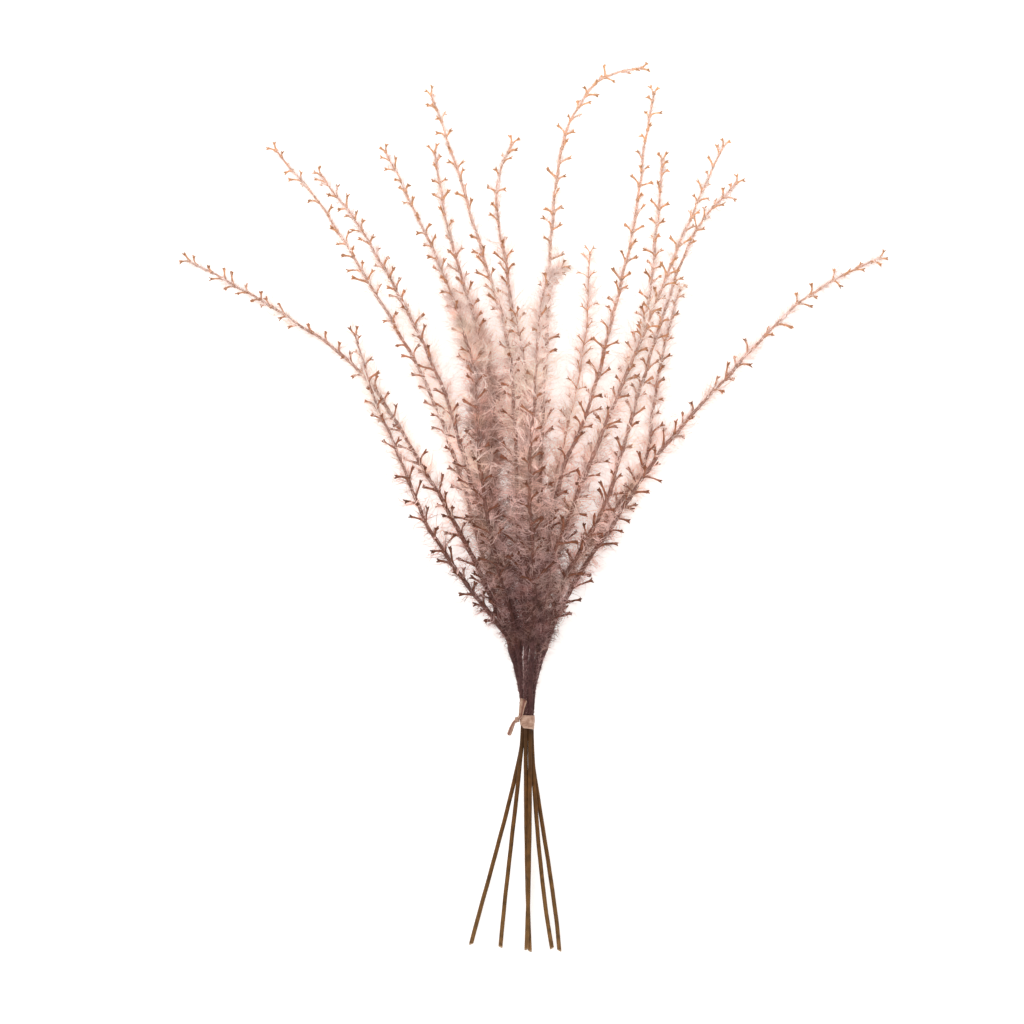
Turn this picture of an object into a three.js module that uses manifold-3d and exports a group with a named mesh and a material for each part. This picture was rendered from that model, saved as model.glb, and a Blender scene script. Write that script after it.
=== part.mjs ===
// A tied bundle of pampas-grass sprays, lying on its side on a flat surface.
//
// Six bare stems come together in a raffia tie. Above the tie each stem forks into three long
// arching branches, and every branch carries short twigs all round that flare at their tips.
//
// Millimetres, +Z up. +Y runs from the cut ends to the branch tips, +X to the right as seen
// from above. The part ends centred in X and Y over the surface, which is z = 0.

import * as THREE from 'three';
import { mergeVertices } from 'three/addons/utils/BufferGeometryUtils.js';
import Module from 'manifold-3d';

const wasm = await Module();
wasm.setup();

// ---------------------------------------------------------------- driving dimensions

const CLEARANCE = 0.3;              // free space kept between pieces that rest on each other

const STEM_RADIUS = 1.35;
const STEM_SIDES = 8;
const STEM_STEPS = 8;               // rings along each half of a stem
const TIE_PLACE = new THREE.Vector3(-5.3, -144.5, 22);
const PACKING_RADIUS = 2 * STEM_RADIUS + CLEARANCE;   // stem centres round the tie's axis
const HANDLE_BELOW_TIE = 24;        // how long a stem stays straight below and above the tie
const HANDLE_ABOVE_TIE = 16;

const STALK_BASE_RADIUS = 1.3;
const STALK_TIP_RADIUS = 0.55;
const STALK_SIDES = 6;
const STALK_STEPS = 16;
const FOOT_STRAIGHT = 8;            // how far the three branches of a fork run side by side
const STALK_SPREAD = (2 * STALK_BASE_RADIUS + CLEARANCE) / Math.sqrt(3);   // bases round the fork

const TWIG_ROOT_RADIUS = 0.45;
const TWIG_TIP_RADIUS = 0.95;       // flared, because the tip has three prongs
const TWIG_LENGTH = 12.5;           // at the foot of a branch, shorter toward its tip
const TWIG_END_LENGTH = 6.5;
const TWIG_SPACING = 7.4;           // from one twig to the next along the stalk
const FIRST_TWIG_PLACE = 21;        // from the fork
const FIRST_TWIG_BUILT = 3;         // the lowest twigs are left out, hidden in the hairs
const TWIG_STRIDE = 2;              // every second place has its twig built, in place of all of them
const TWIG_LEAN = 55;               // degrees between a twig and its stalk
const TWIG_TURN = 137.5;            // degrees from one twig to the next, round the stalk
const TURNS_ASIDE = [0, 40, -40, 80, -80, 120, -120, 180];   // tried in turn to find room
const FIRST_TURN_STEP = 57;         // so that no two branches start their twigs alike

const BAND_INNER_RADIUS = PACKING_RADIUS + STEM_RADIUS + 2 * CLEARANCE;
const BAND_THICKNESS = 0.55;
const BAND_WIDTH = 8.8;
const BAND_SIDES = 24;
const KNOT_RADIUS = 2.1;
const KNOT_PLACE = new THREE.Vector3(-12.2, -143, 23.5);
const TAIL_THICKNESS = 0.6;
const UPPER_TAIL_SLOPE = 0.42;      // rise in Z for each millimetre of Y
const LOWER_TAIL_SLOPE = 0.3;
const UPPER_TAIL = [[-13.2, -143], [-10.2, -143.5], [-5.3, -129.2], [-9.8, -127.6]];
const LOWER_TAIL = [[-13.6, -143], [-11, -143], [-12.6, -147], [-16.8, -155], [-19, -153.6], [-15, -147]];

const STEM_COLOUR = 0x5c3d1e;
const BRANCH_COLOUR = 0x8a6660;
const RAFFIA_COLOUR = 0xb98f78;

// ---------------------------------------------------------------- the six stems
//
// cut: centre of the cut end. rise: how the stem bends up from the surface toward the tie.
// seat: degrees round the tie's axis, from +X toward +Z. bend: where it turns before its fork.

const STEMS = [
  { cut: [-43.5, -295.6, 1.35], rise: [-31, -248, 3], seat: 230, bend: [-11.5, -114, 19], fork: [-15, -98, 20] },
  { cut: [-23.5, -297.4, 1.35], rise: [-19, -245, 10], seat: 170, bend: [-9.5, -112, 23], fork: [-11, -95, 26] },
  { cut: [-3.5, -300, 1.35], rise: [-6.3, -245, 4.5], seat: 110, bend: [-6.5, -108, 29], fork: [-5.5, -90, 32] },
  { cut: [-5.8, -298.6, 4.7], rise: [-3.4, -245, 14], seat: 50, bend: [-3, -108, 31], fork: [-1.2, -90, 36] },
  { cut: [11.5, -298.4, 1.35], rise: [2.4, -250, 12], seat: -10, bend: [0, -110, 25], fork: [3, -92, 28] },
  { cut: [16.5, -300, 1.35], rise: [13.5, -255, 3], seat: 290, bend: [1.5, -112, 20], fork: [5.5, -96, 20] },
];

// ---------------------------------------------------------------- the branches' routes
//
// Three branches on each stem, from just above the fork to the tip. Those with small z lie
// along the surface and carry the bunch together with the cut ends.

const BRANCHES = [
  [
    [[-40, -38, 12], [-75, 26, 7.5], [-119, 93, 6.5], [-176, 135, 6.5], [-240, 171, 8]],
    [[-42, -57, 23], [-73, -11, 26], [-91, 33, 29], [-110, 78, 32], [-123, 124, 35]],
    [[-33, -40, 11], [-53, 30, 7.5], [-76, 89, 8], [-112, 152, 11], [-147, 208, 15], [-180, 247, 18]],
  ],
  [
    [[-28, -30, 33], [-45, 24, 40], [-62, 80, 46], [-90, 140, 52], [-122, 195, 57], [-149, 230, 60]],
    [[-25, -40, 42], [-37, 26, 55], [-41, 92, 66], [-62, 158, 75], [-83, 204, 81], [-103, 246, 85]],
    [[-23, -40, 25], [-31, 20, 27], [-28, 77, 30], [-43, 134, 33], [-59, 190, 36], [-69, 247, 39]],
  ],
  [
    [[-11, -30, 43], [-13, 40, 51], [-19, 115, 58], [-36, 173, 62], [-53, 230, 66], [-72, 285, 69]],
    [[-7, -30, 33], [-8, 30, 36], [-11, 95, 41], [-19, 160, 45], [-26, 215, 48], [-14, 252, 50]],
    [[-5, -35, 51], [-3, 25, 65], [-5, 80, 76], [-14, 136, 83]],
  ],
  [
    [[2, -30, 51], [4, 40, 64], [8, 120, 74], [12, 198, 82], [22, 256, 86], [44, 288, 88], [78, 298, 89]],
    [[-1, -40, 62], [-4, 20, 80], [0, 80, 93], [3, 128, 100], [8, 152, 103], [23, 165, 105]],
    [[5, -40, 21.5], [15, 25, 10], [27, 75, 7], [35, 125, 6.5], [37, 179, 8.5]],
  ],
  [
    [[8, -35, 33], [17, 20, 38], [36, 68, 43], [53, 132, 48], [67, 193, 53], [74, 245, 57], [81, 286, 60]],
    [[12, -40, 20], [32, 20, 17], [56, 75, 18], [75, 130, 20], [82, 186, 23], [87, 242, 26]],
    [[10, -40, 44], [27, 5, 54], [51, 65, 62], [74, 120, 69], [98, 180, 75], [129, 250, 80]],
  ],
  [
    [[21, -46, 33], [46, 0, 41], [66, 64, 47], [85, 126, 51], [109, 188, 54], [140, 224, 56]],
    [[19, -50, 11], [47, -10, 7.5], [74, 30, 7.5], [81, 75, 10], [90, 120, 14], [100, 154, 17]],
    [[25, -53, 23], [52, -12, 20], [85, 38, 13], [130, 89, 7], [184, 143, 6.5], [239, 173, 8]],
  ],
];

// ---------------------------------------------------------------- small tools

const ALONG = new THREE.Vector3(0, 1, 0);

function point([x, y, z]) {
  return new THREE.Vector3(x, y, z);
}

function solidOf(geometry) {
  const bare = geometry.clone();
  bare.deleteAttribute('normal');
  bare.deleteAttribute('uv');
  const merged = mergeVertices(bare);
  return new wasm.Manifold(new wasm.Mesh({
    numProp: 3,
    vertProperties: new Float32Array(merged.attributes.position.array),
    triVerts: new Uint32Array(merged.index.array),
  }));
}

function geometryOf(solid) {
  const mesh = solid.getMesh();
  const geometry = new THREE.BufferGeometry();
  geometry.setAttribute('position', new THREE.BufferAttribute(new Float32Array(mesh.vertProperties), 3));
  geometry.setIndex(new THREE.BufferAttribute(new Uint32Array(mesh.triVerts), 1));
  geometry.computeVertexNormals();
  return geometry;
}

// A cylinder or cone bent along a curve, with its foot at the curve's start.
function bentRod(curve, footRadius, endRadius, sides, steps) {
  const rod = new THREE.CylinderGeometry(endRadius, footRadius, 1, sides, steps);
  const frames = curve.computeFrenetFrames(steps, false);
  const places = rod.attributes.position;
  for (let i = 0; i < places.count; i += 1) {
    const step = Math.round((places.getY(i) + 0.5) * steps);
    const centre = curve.getPointAt(step / steps);
    centre.addScaledVector(frames.normals[step], places.getZ(i));
    centre.addScaledVector(frames.binormals[step], places.getX(i));
    places.setXYZ(i, centre.x, centre.y, centre.z);
  }
  return rod;
}

// ---------------------------------------------------------------- stems

// Where a stem passes through the tie.
function seatInTie(stem) {
  const angle = THREE.MathUtils.degToRad(stem.seat);
  const offset = new THREE.Vector3(Math.cos(angle), 0, Math.sin(angle));
  return TIE_PLACE.clone().addScaledVector(offset, PACKING_RADIUS);
}

function stemCurve(stem) {
  const seat = seatInTie(stem);
  const below = seat.clone().addScaledVector(ALONG, -HANDLE_BELOW_TIE);
  const above = seat.clone().addScaledVector(ALONG, HANDLE_ABOVE_TIE);
  const curve = new THREE.CurvePath();
  curve.add(new THREE.CubicBezierCurve3(point(stem.cut), point(stem.rise), below, seat));
  curve.add(new THREE.CubicBezierCurve3(seat, above, point(stem.bend), point(stem.fork)));
  return curve;
}

function stemGeometry(stem) {
  return bentRod(stemCurve(stem), STEM_RADIUS, STEM_RADIUS, STEM_SIDES, 2 * STEM_STEPS);
}

// ---------------------------------------------------------------- branches

// The three branches of a fork start side by side, in line with their stem, in the order in
// which they turn away round it.
function branchCurves(stem, routes) {
  const fork = point(stem.fork);
  const along = fork.clone().sub(point(stem.bend)).normalize();
  const sideways = new THREE.Vector3(0, 0, 1).cross(along).normalize();
  const upward = along.clone().cross(sideways);
  const headings = routes.map((route) => {
    const way = point(route[0]).sub(fork);
    return Math.atan2(way.dot(upward), way.dot(sideways));
  });
  const turns = headings.map((heading) => {
    const turn = heading - headings[0];
    return Math.atan2(Math.sin(turn), Math.cos(turn));
  });
  const ranked = [...turns].sort((a, b) => a - b);
  return routes.map((route, i) => {
    const angle = headings[0] + ranked[1] + (ranked.indexOf(turns[i]) - 1) * (2 * Math.PI / 3);
    const foot = fork.clone().addScaledVector(along, CLEARANCE);
    foot.addScaledVector(sideways, STALK_SPREAD * Math.cos(angle));
    foot.addScaledVector(upward, STALK_SPREAD * Math.sin(angle));
    const knee = foot.clone().addScaledVector(along, FOOT_STRAIGHT);
    return new THREE.CatmullRomCurve3([foot, knee, ...route.map(point)], false, 'centripetal');
  });
}

// The straight pieces of a stalk, from one ring to the next, with their thickness.
function stalkChords(curve, name) {
  const places = curve.getSpacedPoints(STALK_STEPS);
  return places.slice(1).map((place, i) => ({
    name,
    line: new THREE.Line3(places[i], place),
    radius: STALK_BASE_RADIUS,
  }));
}

// Whether a twig on this line would keep clear of every other branch.
function isClear(line, name, pieces) {
  return pieces.every((piece) => {
    if (piece.name === name) {
      return true;
    }
    const reach = piece.radius + TWIG_TIP_RADIUS + CLEARANCE;
    return piece.line.distanceSqToLine3(line) > reach * reach;
  });
}

// A twig leaves its stalk at a slant and is turned aside, or left out, where it has no room.
function growTwig(branch, distance, turn, pieces) {
  const share = distance / branch.curve.getLength();
  const piece = branch.chords[Math.floor(share * STALK_STEPS)].line;
  const root = piece.at((share * STALK_STEPS) % 1, new THREE.Vector3());
  const along = branch.curve.getTangentAt(share);
  const sideways = new THREE.Vector3(0, 0, 1).cross(along).normalize();
  const upward = along.clone().cross(sideways);
  const lean = THREE.MathUtils.degToRad(TWIG_LEAN);
  const length = THREE.MathUtils.lerp(TWIG_LENGTH, TWIG_END_LENGTH, share);
  for (const aside of TURNS_ASIDE) {
    const angle = THREE.MathUtils.degToRad(turn + aside);
    const out = sideways.clone().multiplyScalar(Math.cos(angle)).addScaledVector(upward, Math.sin(angle));
    const tip = root.clone().addScaledVector(along, length * Math.cos(lean));
    tip.addScaledVector(out, length * Math.sin(lean));
    tip.z = Math.max(tip.z, TWIG_TIP_RADIUS);
    const line = new THREE.Line3(root, tip);
    if (isClear(line, branch.name, pieces)) {
      return line;
    }
  }
  return null;
}

function twigGeometry(line) {
  const length = line.distance();
  const twig = new THREE.CylinderGeometry(TWIG_TIP_RADIUS, TWIG_ROOT_RADIUS, length, 3);
  const way = line.delta(new THREE.Vector3()).normalize();
  twig.translate(0, length / 2, 0);
  twig.applyQuaternion(new THREE.Quaternion().setFromUnitVectors(ALONG, way));
  twig.translate(line.start.x, line.start.y, line.start.z);
  return twig;
}

function branchGeometry(branch, firstTurn, pieces) {
  const stalk = bentRod(branch.curve, STALK_BASE_RADIUS, STALK_TIP_RADIUS, STALK_SIDES, STALK_STEPS);
  let solid = solidOf(stalk);
  const count = Math.floor((branch.curve.getLength() - FIRST_TWIG_PLACE) / TWIG_SPACING);
  for (let number = FIRST_TWIG_BUILT; number < count; number += TWIG_STRIDE) {
    const distance = FIRST_TWIG_PLACE + number * TWIG_SPACING;
    const line = growTwig(branch, distance, firstTurn + number * TWIG_TURN, pieces);
    if (line) {
      pieces.push({ name: branch.name, line, radius: TWIG_TIP_RADIUS });
      solid = solid.add(solidOf(twigGeometry(line)));
    }
  }
  return geometryOf(solid);
}

// ---------------------------------------------------------------- the raffia tie

// A flat tail drawn in plan: it leaves the knot at the level z and climbs by slope along Y.
function tailGeometry(outline, z, slope) {
  const shape = new THREE.Shape(outline.map(([x, y]) => new THREE.Vector2(x, y)));
  const tail = new THREE.ExtrudeGeometry(shape, { depth: TAIL_THICKNESS, bevelEnabled: false });
  const places = tail.attributes.position;
  for (let i = 0; i < places.count; i += 1) {
    places.setZ(i, places.getZ(i) + z + slope * (places.getY(i) - KNOT_PLACE.y));
  }
  return tail;
}

function tieGeometry() {
  const half = BAND_WIDTH / 2;
  const outer = BAND_INNER_RADIUS + BAND_THICKNESS;
  const corners = [
    [BAND_INNER_RADIUS, -half],
    [outer, -half],
    [outer, half],
    [BAND_INNER_RADIUS, half],
    [BAND_INNER_RADIUS, -half],
  ];
  const band = new THREE.LatheGeometry(corners.map(([r, y]) => new THREE.Vector2(r, y)), BAND_SIDES);
  band.translate(TIE_PLACE.x, TIE_PLACE.y, TIE_PLACE.z);
  const knot = new THREE.SphereGeometry(KNOT_RADIUS, 10, 8);
  knot.translate(KNOT_PLACE.x, KNOT_PLACE.y, KNOT_PLACE.z);
  const upperTail = tailGeometry(UPPER_TAIL, KNOT_PLACE.z + KNOT_RADIUS / 2, UPPER_TAIL_SLOPE);
  const lowerTail = tailGeometry(LOWER_TAIL, KNOT_PLACE.z - KNOT_RADIUS / 2, LOWER_TAIL_SLOPE);
  const solid = solidOf(band).add(solidOf(knot)).add(solidOf(upperTail)).add(solidOf(lowerTail));
  return geometryOf(solid);
}

// ---------------------------------------------------------------- the bundle

const bundle = new THREE.Group();

function addPiece(name, geometry, color, roughness) {
  const material = new THREE.MeshStandardMaterial({ color, roughness, metalness: 0 });
  const mesh = new THREE.Mesh(geometry, material);
  mesh.name = name;
  bundle.add(mesh);
}

const branches = STEMS.flatMap((stem, i) => (
  branchCurves(stem, BRANCHES[i]).map((curve, j) => {
    const name = `branch_${i + 1}${'abc'[j]}`;
    return { name, curve, chords: stalkChords(curve, name) };
  })
));
const pieces = branches.flatMap((branch) => branch.chords);

STEMS.forEach((stem, i) => addPiece(`stem_${i + 1}`, stemGeometry(stem), STEM_COLOUR, 0.7));
branches.forEach((branch, i) => {
  addPiece(branch.name, branchGeometry(branch, i * FIRST_TURN_STEP, pieces), BRANCH_COLOUR, 0.9);
});
addPiece('raffia_tie', tieGeometry(), RAFFIA_COLOUR, 0.8);

// Centred over the surface that the bundle lies on.
const box = new THREE.Box3().setFromObject(bundle, true);
const middle = box.getCenter(new THREE.Vector3());
bundle.position.set(-middle.x, -middle.y, -box.min.z);

export default bundle;
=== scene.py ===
# A tied bundle of pampas-style grass sprays, lying on a pale surface and seen from above.
# Six stems, three long branches on each, fine hairs on every branch, and a raffia tie.
# The CAD model is the frame: every piece here stands where its CAD node stands.

import math

import bpy
import numpy as np
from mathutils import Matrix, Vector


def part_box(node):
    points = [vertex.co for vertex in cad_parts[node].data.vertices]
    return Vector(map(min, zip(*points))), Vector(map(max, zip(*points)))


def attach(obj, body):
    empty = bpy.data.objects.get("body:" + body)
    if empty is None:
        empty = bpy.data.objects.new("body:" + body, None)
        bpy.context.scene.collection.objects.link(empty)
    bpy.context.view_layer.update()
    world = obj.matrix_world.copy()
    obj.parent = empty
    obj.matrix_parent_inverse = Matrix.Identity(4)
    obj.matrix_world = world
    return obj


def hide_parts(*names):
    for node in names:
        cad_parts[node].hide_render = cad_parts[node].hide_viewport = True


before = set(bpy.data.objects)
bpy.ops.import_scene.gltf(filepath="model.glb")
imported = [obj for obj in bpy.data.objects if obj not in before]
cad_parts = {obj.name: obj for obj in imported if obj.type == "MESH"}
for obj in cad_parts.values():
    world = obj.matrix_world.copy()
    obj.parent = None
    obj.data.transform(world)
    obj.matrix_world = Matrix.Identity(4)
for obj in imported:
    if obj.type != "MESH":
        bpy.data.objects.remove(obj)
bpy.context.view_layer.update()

# ------------------------------------------------------------------ the camera
# It hangs high over the bundle and looks straight down, with the branch tips at the top of
# the picture. A long lens keeps the raised branches from spreading outwards.

MM = 0.001
PICTURE_WIDTH = 692.6 * MM         # what the picture spans at the height of most branches
BRANCH_HEIGHT = 32 * MM
TIE_TO_CENTRE = np.array([-15.8, 125.2]) * MM   # from the far right corner of the raffia tie
PICTURE_CENTRE = np.array(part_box("raffia_tie")[1])[:2] + TIE_TO_CENTRE
LENS = 500.0
SENSOR = 36.0

camera_data = bpy.data.cameras.new("camera")
camera_data.sensor_width = SENSOR
camera_data.lens = LENS
camera = bpy.data.objects.new("camera", camera_data)
camera.location = (*PICTURE_CENTRE, BRANCH_HEIGHT + PICTURE_WIDTH * LENS / SENSOR)
bpy.context.scene.collection.objects.link(camera)
bpy.context.scene.camera = camera

# ------------------------------------------------------------------ the six stems
# Each is a thin dried stalk, olive brown and faintly ridged below the tie, where it is bare,
# and dark plum above it, where it was dyed. The lower end is cut on a slant and shows pale
# pith. At the fork a wrapped sleeve closes round the feet of the stem's three branches.

STEM_RADIUS = 1.42 * MM
STEM_SIDES = 20
STEM_RINGS = 240
RIDGES = 7
RIDGE_TURN = 25                    # radians for each metre of stem
RIDGE_HEIGHT = 0.035               # this and the next two as a share of the radius
LUMP_HEIGHT = 0.05
WRAP_HEIGHT = 0.12
WRAP_PITCH = 5 * MM
WRAPS_START = 4 * MM               # above the tie's middle, and fully raised after as much again
TIE_PLACE = np.array([-5.3, -144.5, 22.0]) * MM
PACKING_RADIUS = 3.0 * MM          # stem centres round the tie's axis
HANDLE_BELOW_TIE = 24 * MM
HANDLE_ABOVE_TIE = 16 * MM
SLEEVE_LENGTH = 9 * MM
SLEEVE_REACH = 5 * MM              # how far the sleeve runs on past the fork
SLEEVE_RADIUS = 2.75 * MM
SLEEVE_END = 2.5 * MM              # over this length the sleeve draws in at its end
SLEEVE_DRAWN_IN = 0.35             # by this share of its swell
FLOCKED_RADIUS = 1.62 * MM         # above the tie, with its coat of short hairs
CUT_SLANT = 0.9 * MM
LOWEST = 0.02 * MM                 # a stem that lies on the table is pressed flat at this height

# For each stem: its cut end, where it bends up, its place in the tie in degrees from +X
# toward +Z, where it turns before the fork, and the fork.
STEMS = [
    ((-43.5, -295.6, 1.35), (-31, -248, 3), 230, (-11.5, -114, 19), (-15, -98, 20)),
    ((-23.5, -297.4, 1.35), (-19, -245, 10), 170, (-9.5, -112, 23), (-11, -95, 26)),
    ((-3.5, -300, 1.35), (-6.3, -245, 4.5), 110, (-6.5, -108, 29), (-5.5, -90, 32)),
    ((-5.8, -298.6, 4.7), (-3.4, -245, 14), 50, (-3, -108, 31), (-1.2, -90, 36)),
    ((11.5, -298.4, 1.35), (2.4, -250, 12), -10, (0, -110, 25), (3, -92, 28)),
    ((16.5, -300, 1.35), (13.5, -255, 3), 290, (1.5, -112, 20), (5.5, -96, 20)),
]

# The points are counted from a corner of the tie whose place is known: the right edge of its
# band and the far end of its upper tail.
BAND_RADIUS = 5.5 * MM
UPPER_TAIL_END = -127.6 * MM
tie_corner = np.array(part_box("raffia_tie")[1])
SHIFT = np.array([tie_corner[0] - TIE_PLACE[0] - BAND_RADIUS, tie_corner[1] - UPPER_TAIL_END, 0])


def placed(point):
    """A point in millimetres of the bundle's own layout, as metres in the frame."""
    return np.array(point, float) * MM + SHIFT


def unit(vectors):
    """Vectors of length one."""
    return vectors / np.linalg.norm(vectors, axis=-1, keepdims=True)


def bezier(start, leave, arrive, end, count):
    """A cubic curve from start to end that leaves and arrives toward the two middle points."""
    t = np.linspace(0, 1, count)[:, None]
    left = 1 - t
    return left**3 * start + 3 * left**2 * t * leave + 3 * left * t**2 * arrive + t**3 * end


def distances(path):
    """How far each point lies from the start, measured along the path."""
    steps = np.linalg.norm(np.diff(path, axis=0), axis=1)
    return np.concatenate([[0], np.cumsum(steps)])


def points_at(path, places):
    """The points that lie the given distances along a path."""
    along = distances(path)
    return np.stack([np.interp(places, along, path[:, axis]) for axis in range(3)], axis=-1)


def evenly(path, count):
    """The same path with its points at even distances."""
    return points_at(path, np.linspace(0, distances(path)[-1], count))


def squares(here, beside, both, ahead):
    """Two triangles for each square of a grid, from the numbers of its four corners in turn."""
    return np.concatenate([
        np.stack([here, beside, both], axis=-1).reshape(-1, 3),
        np.stack([here, both, ahead], axis=-1).reshape(-1, 3)])


def rods(paths, radii, guides, sides, pointed=False):
    """Closed rods round paths given as (rod, ring, xyz).

    A corner is path + radius * (cos(angle) * across + sin(angle) * up), where across is at
    right angles to the path and to the rod's guide direction. radii is (rod, ring) or
    (rod, ring, side). The start is closed flat, the end flat or to a point. Returns the
    corners and the triangles.
    """
    rod_count, ring_count = paths.shape[:2]
    along = unit(np.gradient(paths, axis=1))
    across = unit(np.cross(along, guides[:, None, :]))
    up = np.cross(along, across)
    angle = (np.arange(sides) * (2 * math.pi / sides))[:, None]
    circle = np.cos(angle) * across[:, :, None, :] + np.sin(angle) * up[:, :, None, :]
    if radii.ndim == 2:
        radii = radii[:, :, None]
    corners = paths[:, :, None, :] + radii[..., None] * circle
    corners = corners.reshape(rod_count, ring_count * sides, 3)

    ring_starts = np.arange(ring_count - 1)[:, None] * sides
    here = ring_starts + np.arange(sides)
    beside = ring_starts + (np.arange(sides) + 1) % sides
    fan = np.arange(1, sides - 1)
    start_cap = np.stack([0 * fan, fan + 1, fan], axis=1)
    if pointed:
        last_ring = (ring_count - 1) * sides
        corners = np.concatenate([corners[:, :last_ring], paths[:, -1:]], axis=1)
        tip = np.full(sides, last_ring)
        end_cap = np.stack([here[-1], beside[-1], tip], axis=1)
        here, beside = here[:-1], beside[:-1]
    else:
        last = (ring_count - 1) * sides
        end_cap = np.stack([last + 0 * fan, last + fan, last + fan + 1], axis=1)
    walls = squares(here, beside, beside + sides, here + sides)
    faces = np.concatenate([walls, start_cap, end_cap])
    starts = np.arange(rod_count)[:, None, None] * corners.shape[1]
    return corners.reshape(-1, 3), (faces[None] + starts).reshape(-1, 3)


def make_piece(name, shape, material, slot, node=None, **values):
    """A mesh object from corners and triangles, with a number per corner for each value."""
    corners, triangles = shape
    mesh = bpy.data.meshes.new(name)
    mesh.vertices.add(len(corners))
    mesh.vertices.foreach_set("co", corners.astype(np.float32).ravel())
    mesh.loops.add(triangles.size)
    mesh.loops.foreach_set("vertex_index", triangles.astype(np.int32).ravel())
    mesh.polygons.add(len(triangles))
    mesh.polygons.foreach_set("loop_start", np.arange(0, triangles.size, 3, dtype=np.int32))
    mesh.polygons.foreach_set("use_smooth", np.ones(len(triangles), bool))
    for value_name, numbers in values.items():
        attribute = mesh.attributes.new(value_name, "FLOAT", "POINT")
        attribute.data.foreach_set("value", numbers.astype(np.float32))
    mesh.update(calc_edges=True)
    mesh.materials.append(material)
    piece = bpy.data.objects.new(name, mesh)
    bpy.context.scene.collection.objects.link(piece)
    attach(piece, "root")
    if node:
        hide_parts(node)
    return piece


def linear(colour):
    """An sRGB hex colour as linear red, green, blue and an alpha of one."""
    channels = np.array([int(colour[i:i + 2], 16) for i in (1, 3, 5)]) / 255
    light = np.where(channels <= 0.04045, channels / 12.92, ((channels + 0.055) / 1.055) ** 2.4)
    return (*light.tolist(), 1.0)


def add_node(tree, kind, settings=None, **inputs):
    """Adds one node with its settings.

    A socket is given by its name, with _ for a space, or by its number, as i0 or i7. Another
    node's output is linked to it, and any other value is set on it.
    """
    node = tree.nodes.new(kind)
    for name, value in (settings or {}).items():
        if name == "stops":
            while len(node.color_ramp.elements) < len(value):
                node.color_ramp.elements.new(0.5)
            for element, (position, colour) in zip(node.color_ramp.elements, value):
                element.position = position
                element.color = linear(colour)
        else:
            setattr(node, name, value)
    for name, value in inputs.items():
        numbered = name[0] == "i" and name[1:].isdigit()
        socket = node.inputs[int(name[1:]) if numbered else name.replace("_", " ")]
        if isinstance(value, bpy.types.NodeSocket):
            tree.links.new(value, socket)
        else:
            socket.default_value = value
    return node


LOW_Y = -300 * MM                  # the bunch's ends
HIGH_Y = 300 * MM


def shades_along(pairs):
    """Colour stops at places given in millimetres along Y, as shares of the bunch's length."""
    return [((y * MM - LOW_Y) / (HIGH_Y - LOW_Y), colour) for y, colour in pairs]


def new_material(name):
    """An empty material, its node tree, the place on the object, and how far along Y that is."""
    material = bpy.data.materials.new(name)
    material.use_nodes = True
    tree = material.node_tree
    tree.nodes.clear()
    place = add_node(tree, "ShaderNodeTexCoord").outputs["Object"]
    parts = add_node(tree, "ShaderNodeSeparateXYZ", Vector=place)
    share = add_node(tree, "ShaderNodeMapRange", Value=parts.outputs["Y"],
                     From_Min=LOW_Y, From_Max=HIGH_Y)
    return material, tree, place, share.outputs["Result"]


def finish_material(tree, shader):
    """Links the shader to the material's output."""
    add_node(tree, "ShaderNodeOutputMaterial", Surface=shader.outputs["BSDF"])


def dried_stem_material():
    """Dried grass stalk: dull, with lengthwise fibres that catch the light, and blotches.

    The corners of the cut end carry a mark, and show the pale pith.
    """
    material, tree, place, share = new_material("dried_grass_stem")
    colour = add_node(tree, "ShaderNodeValToRGB", {"stops": shades_along([
        (-300, "#7d5b38"), (-285, "#6e4e2a"), (-240, "#674622"), (-190, "#5f3c19"),
        (-158, "#4d3012"), (-148, "#422711"), (-142, "#452724"), (-120, "#4c2f2d"),
        (-90, "#523433"),
    ])}, Fac=share)
    stretched = add_node(tree, "ShaderNodeMapping", Vector=place, Scale=(1, 0.05, 1))
    # two fibres in each millimetre, coarser than real ones so that they show, and blotches of 6 mm
    fibre = add_node(tree, "ShaderNodeTexNoise", Vector=stretched.outputs["Vector"],
                     Scale=2.2 / MM, Detail=3)
    blotch = add_node(tree, "ShaderNodeTexNoise", Vector=place, Scale=0.17 / MM, Detail=4)
    grain = add_node(tree, "ShaderNodeMath", {"operation": "ADD"},
                     i0=fibre.outputs["Fac"], i1=blotch.outputs["Fac"])
    light = add_node(tree, "ShaderNodeMapRange", Value=grain.outputs["Value"],
                     From_Min=0.7, From_Max=1.3, To_Min=0.5, To_Max=1.55)
    tinted = add_node(tree, "ShaderNodeHueSaturation",
                      Value=light.outputs["Result"], Color=colour.outputs["Color"])
    cut = add_node(tree, "ShaderNodeAttribute", {"attribute_name": "cut"})
    ended = add_node(tree, "ShaderNodeMix", {"data_type": "RGBA"}, i0=cut.outputs["Fac"],
                     i6=tinted.outputs["Color"], i7=linear("#b99c7c"))
    rough = add_node(tree, "ShaderNodeMapRange", Value=fibre.outputs["Fac"],
                     To_Min=0.5, To_Max=0.85)
    bump = add_node(tree, "ShaderNodeBump", Height=grain.outputs["Value"],
                    Strength=0.5, Distance=0.15 * MM)
    finish_material(tree, add_node(
        tree, "ShaderNodeBsdfPrincipled", Base_Color=ended.outputs["Result"],
        Roughness=rough.outputs["Result"], Specular_IOR_Level=0.2, Normal=bump.outputs["Normal"]))
    return material


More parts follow.
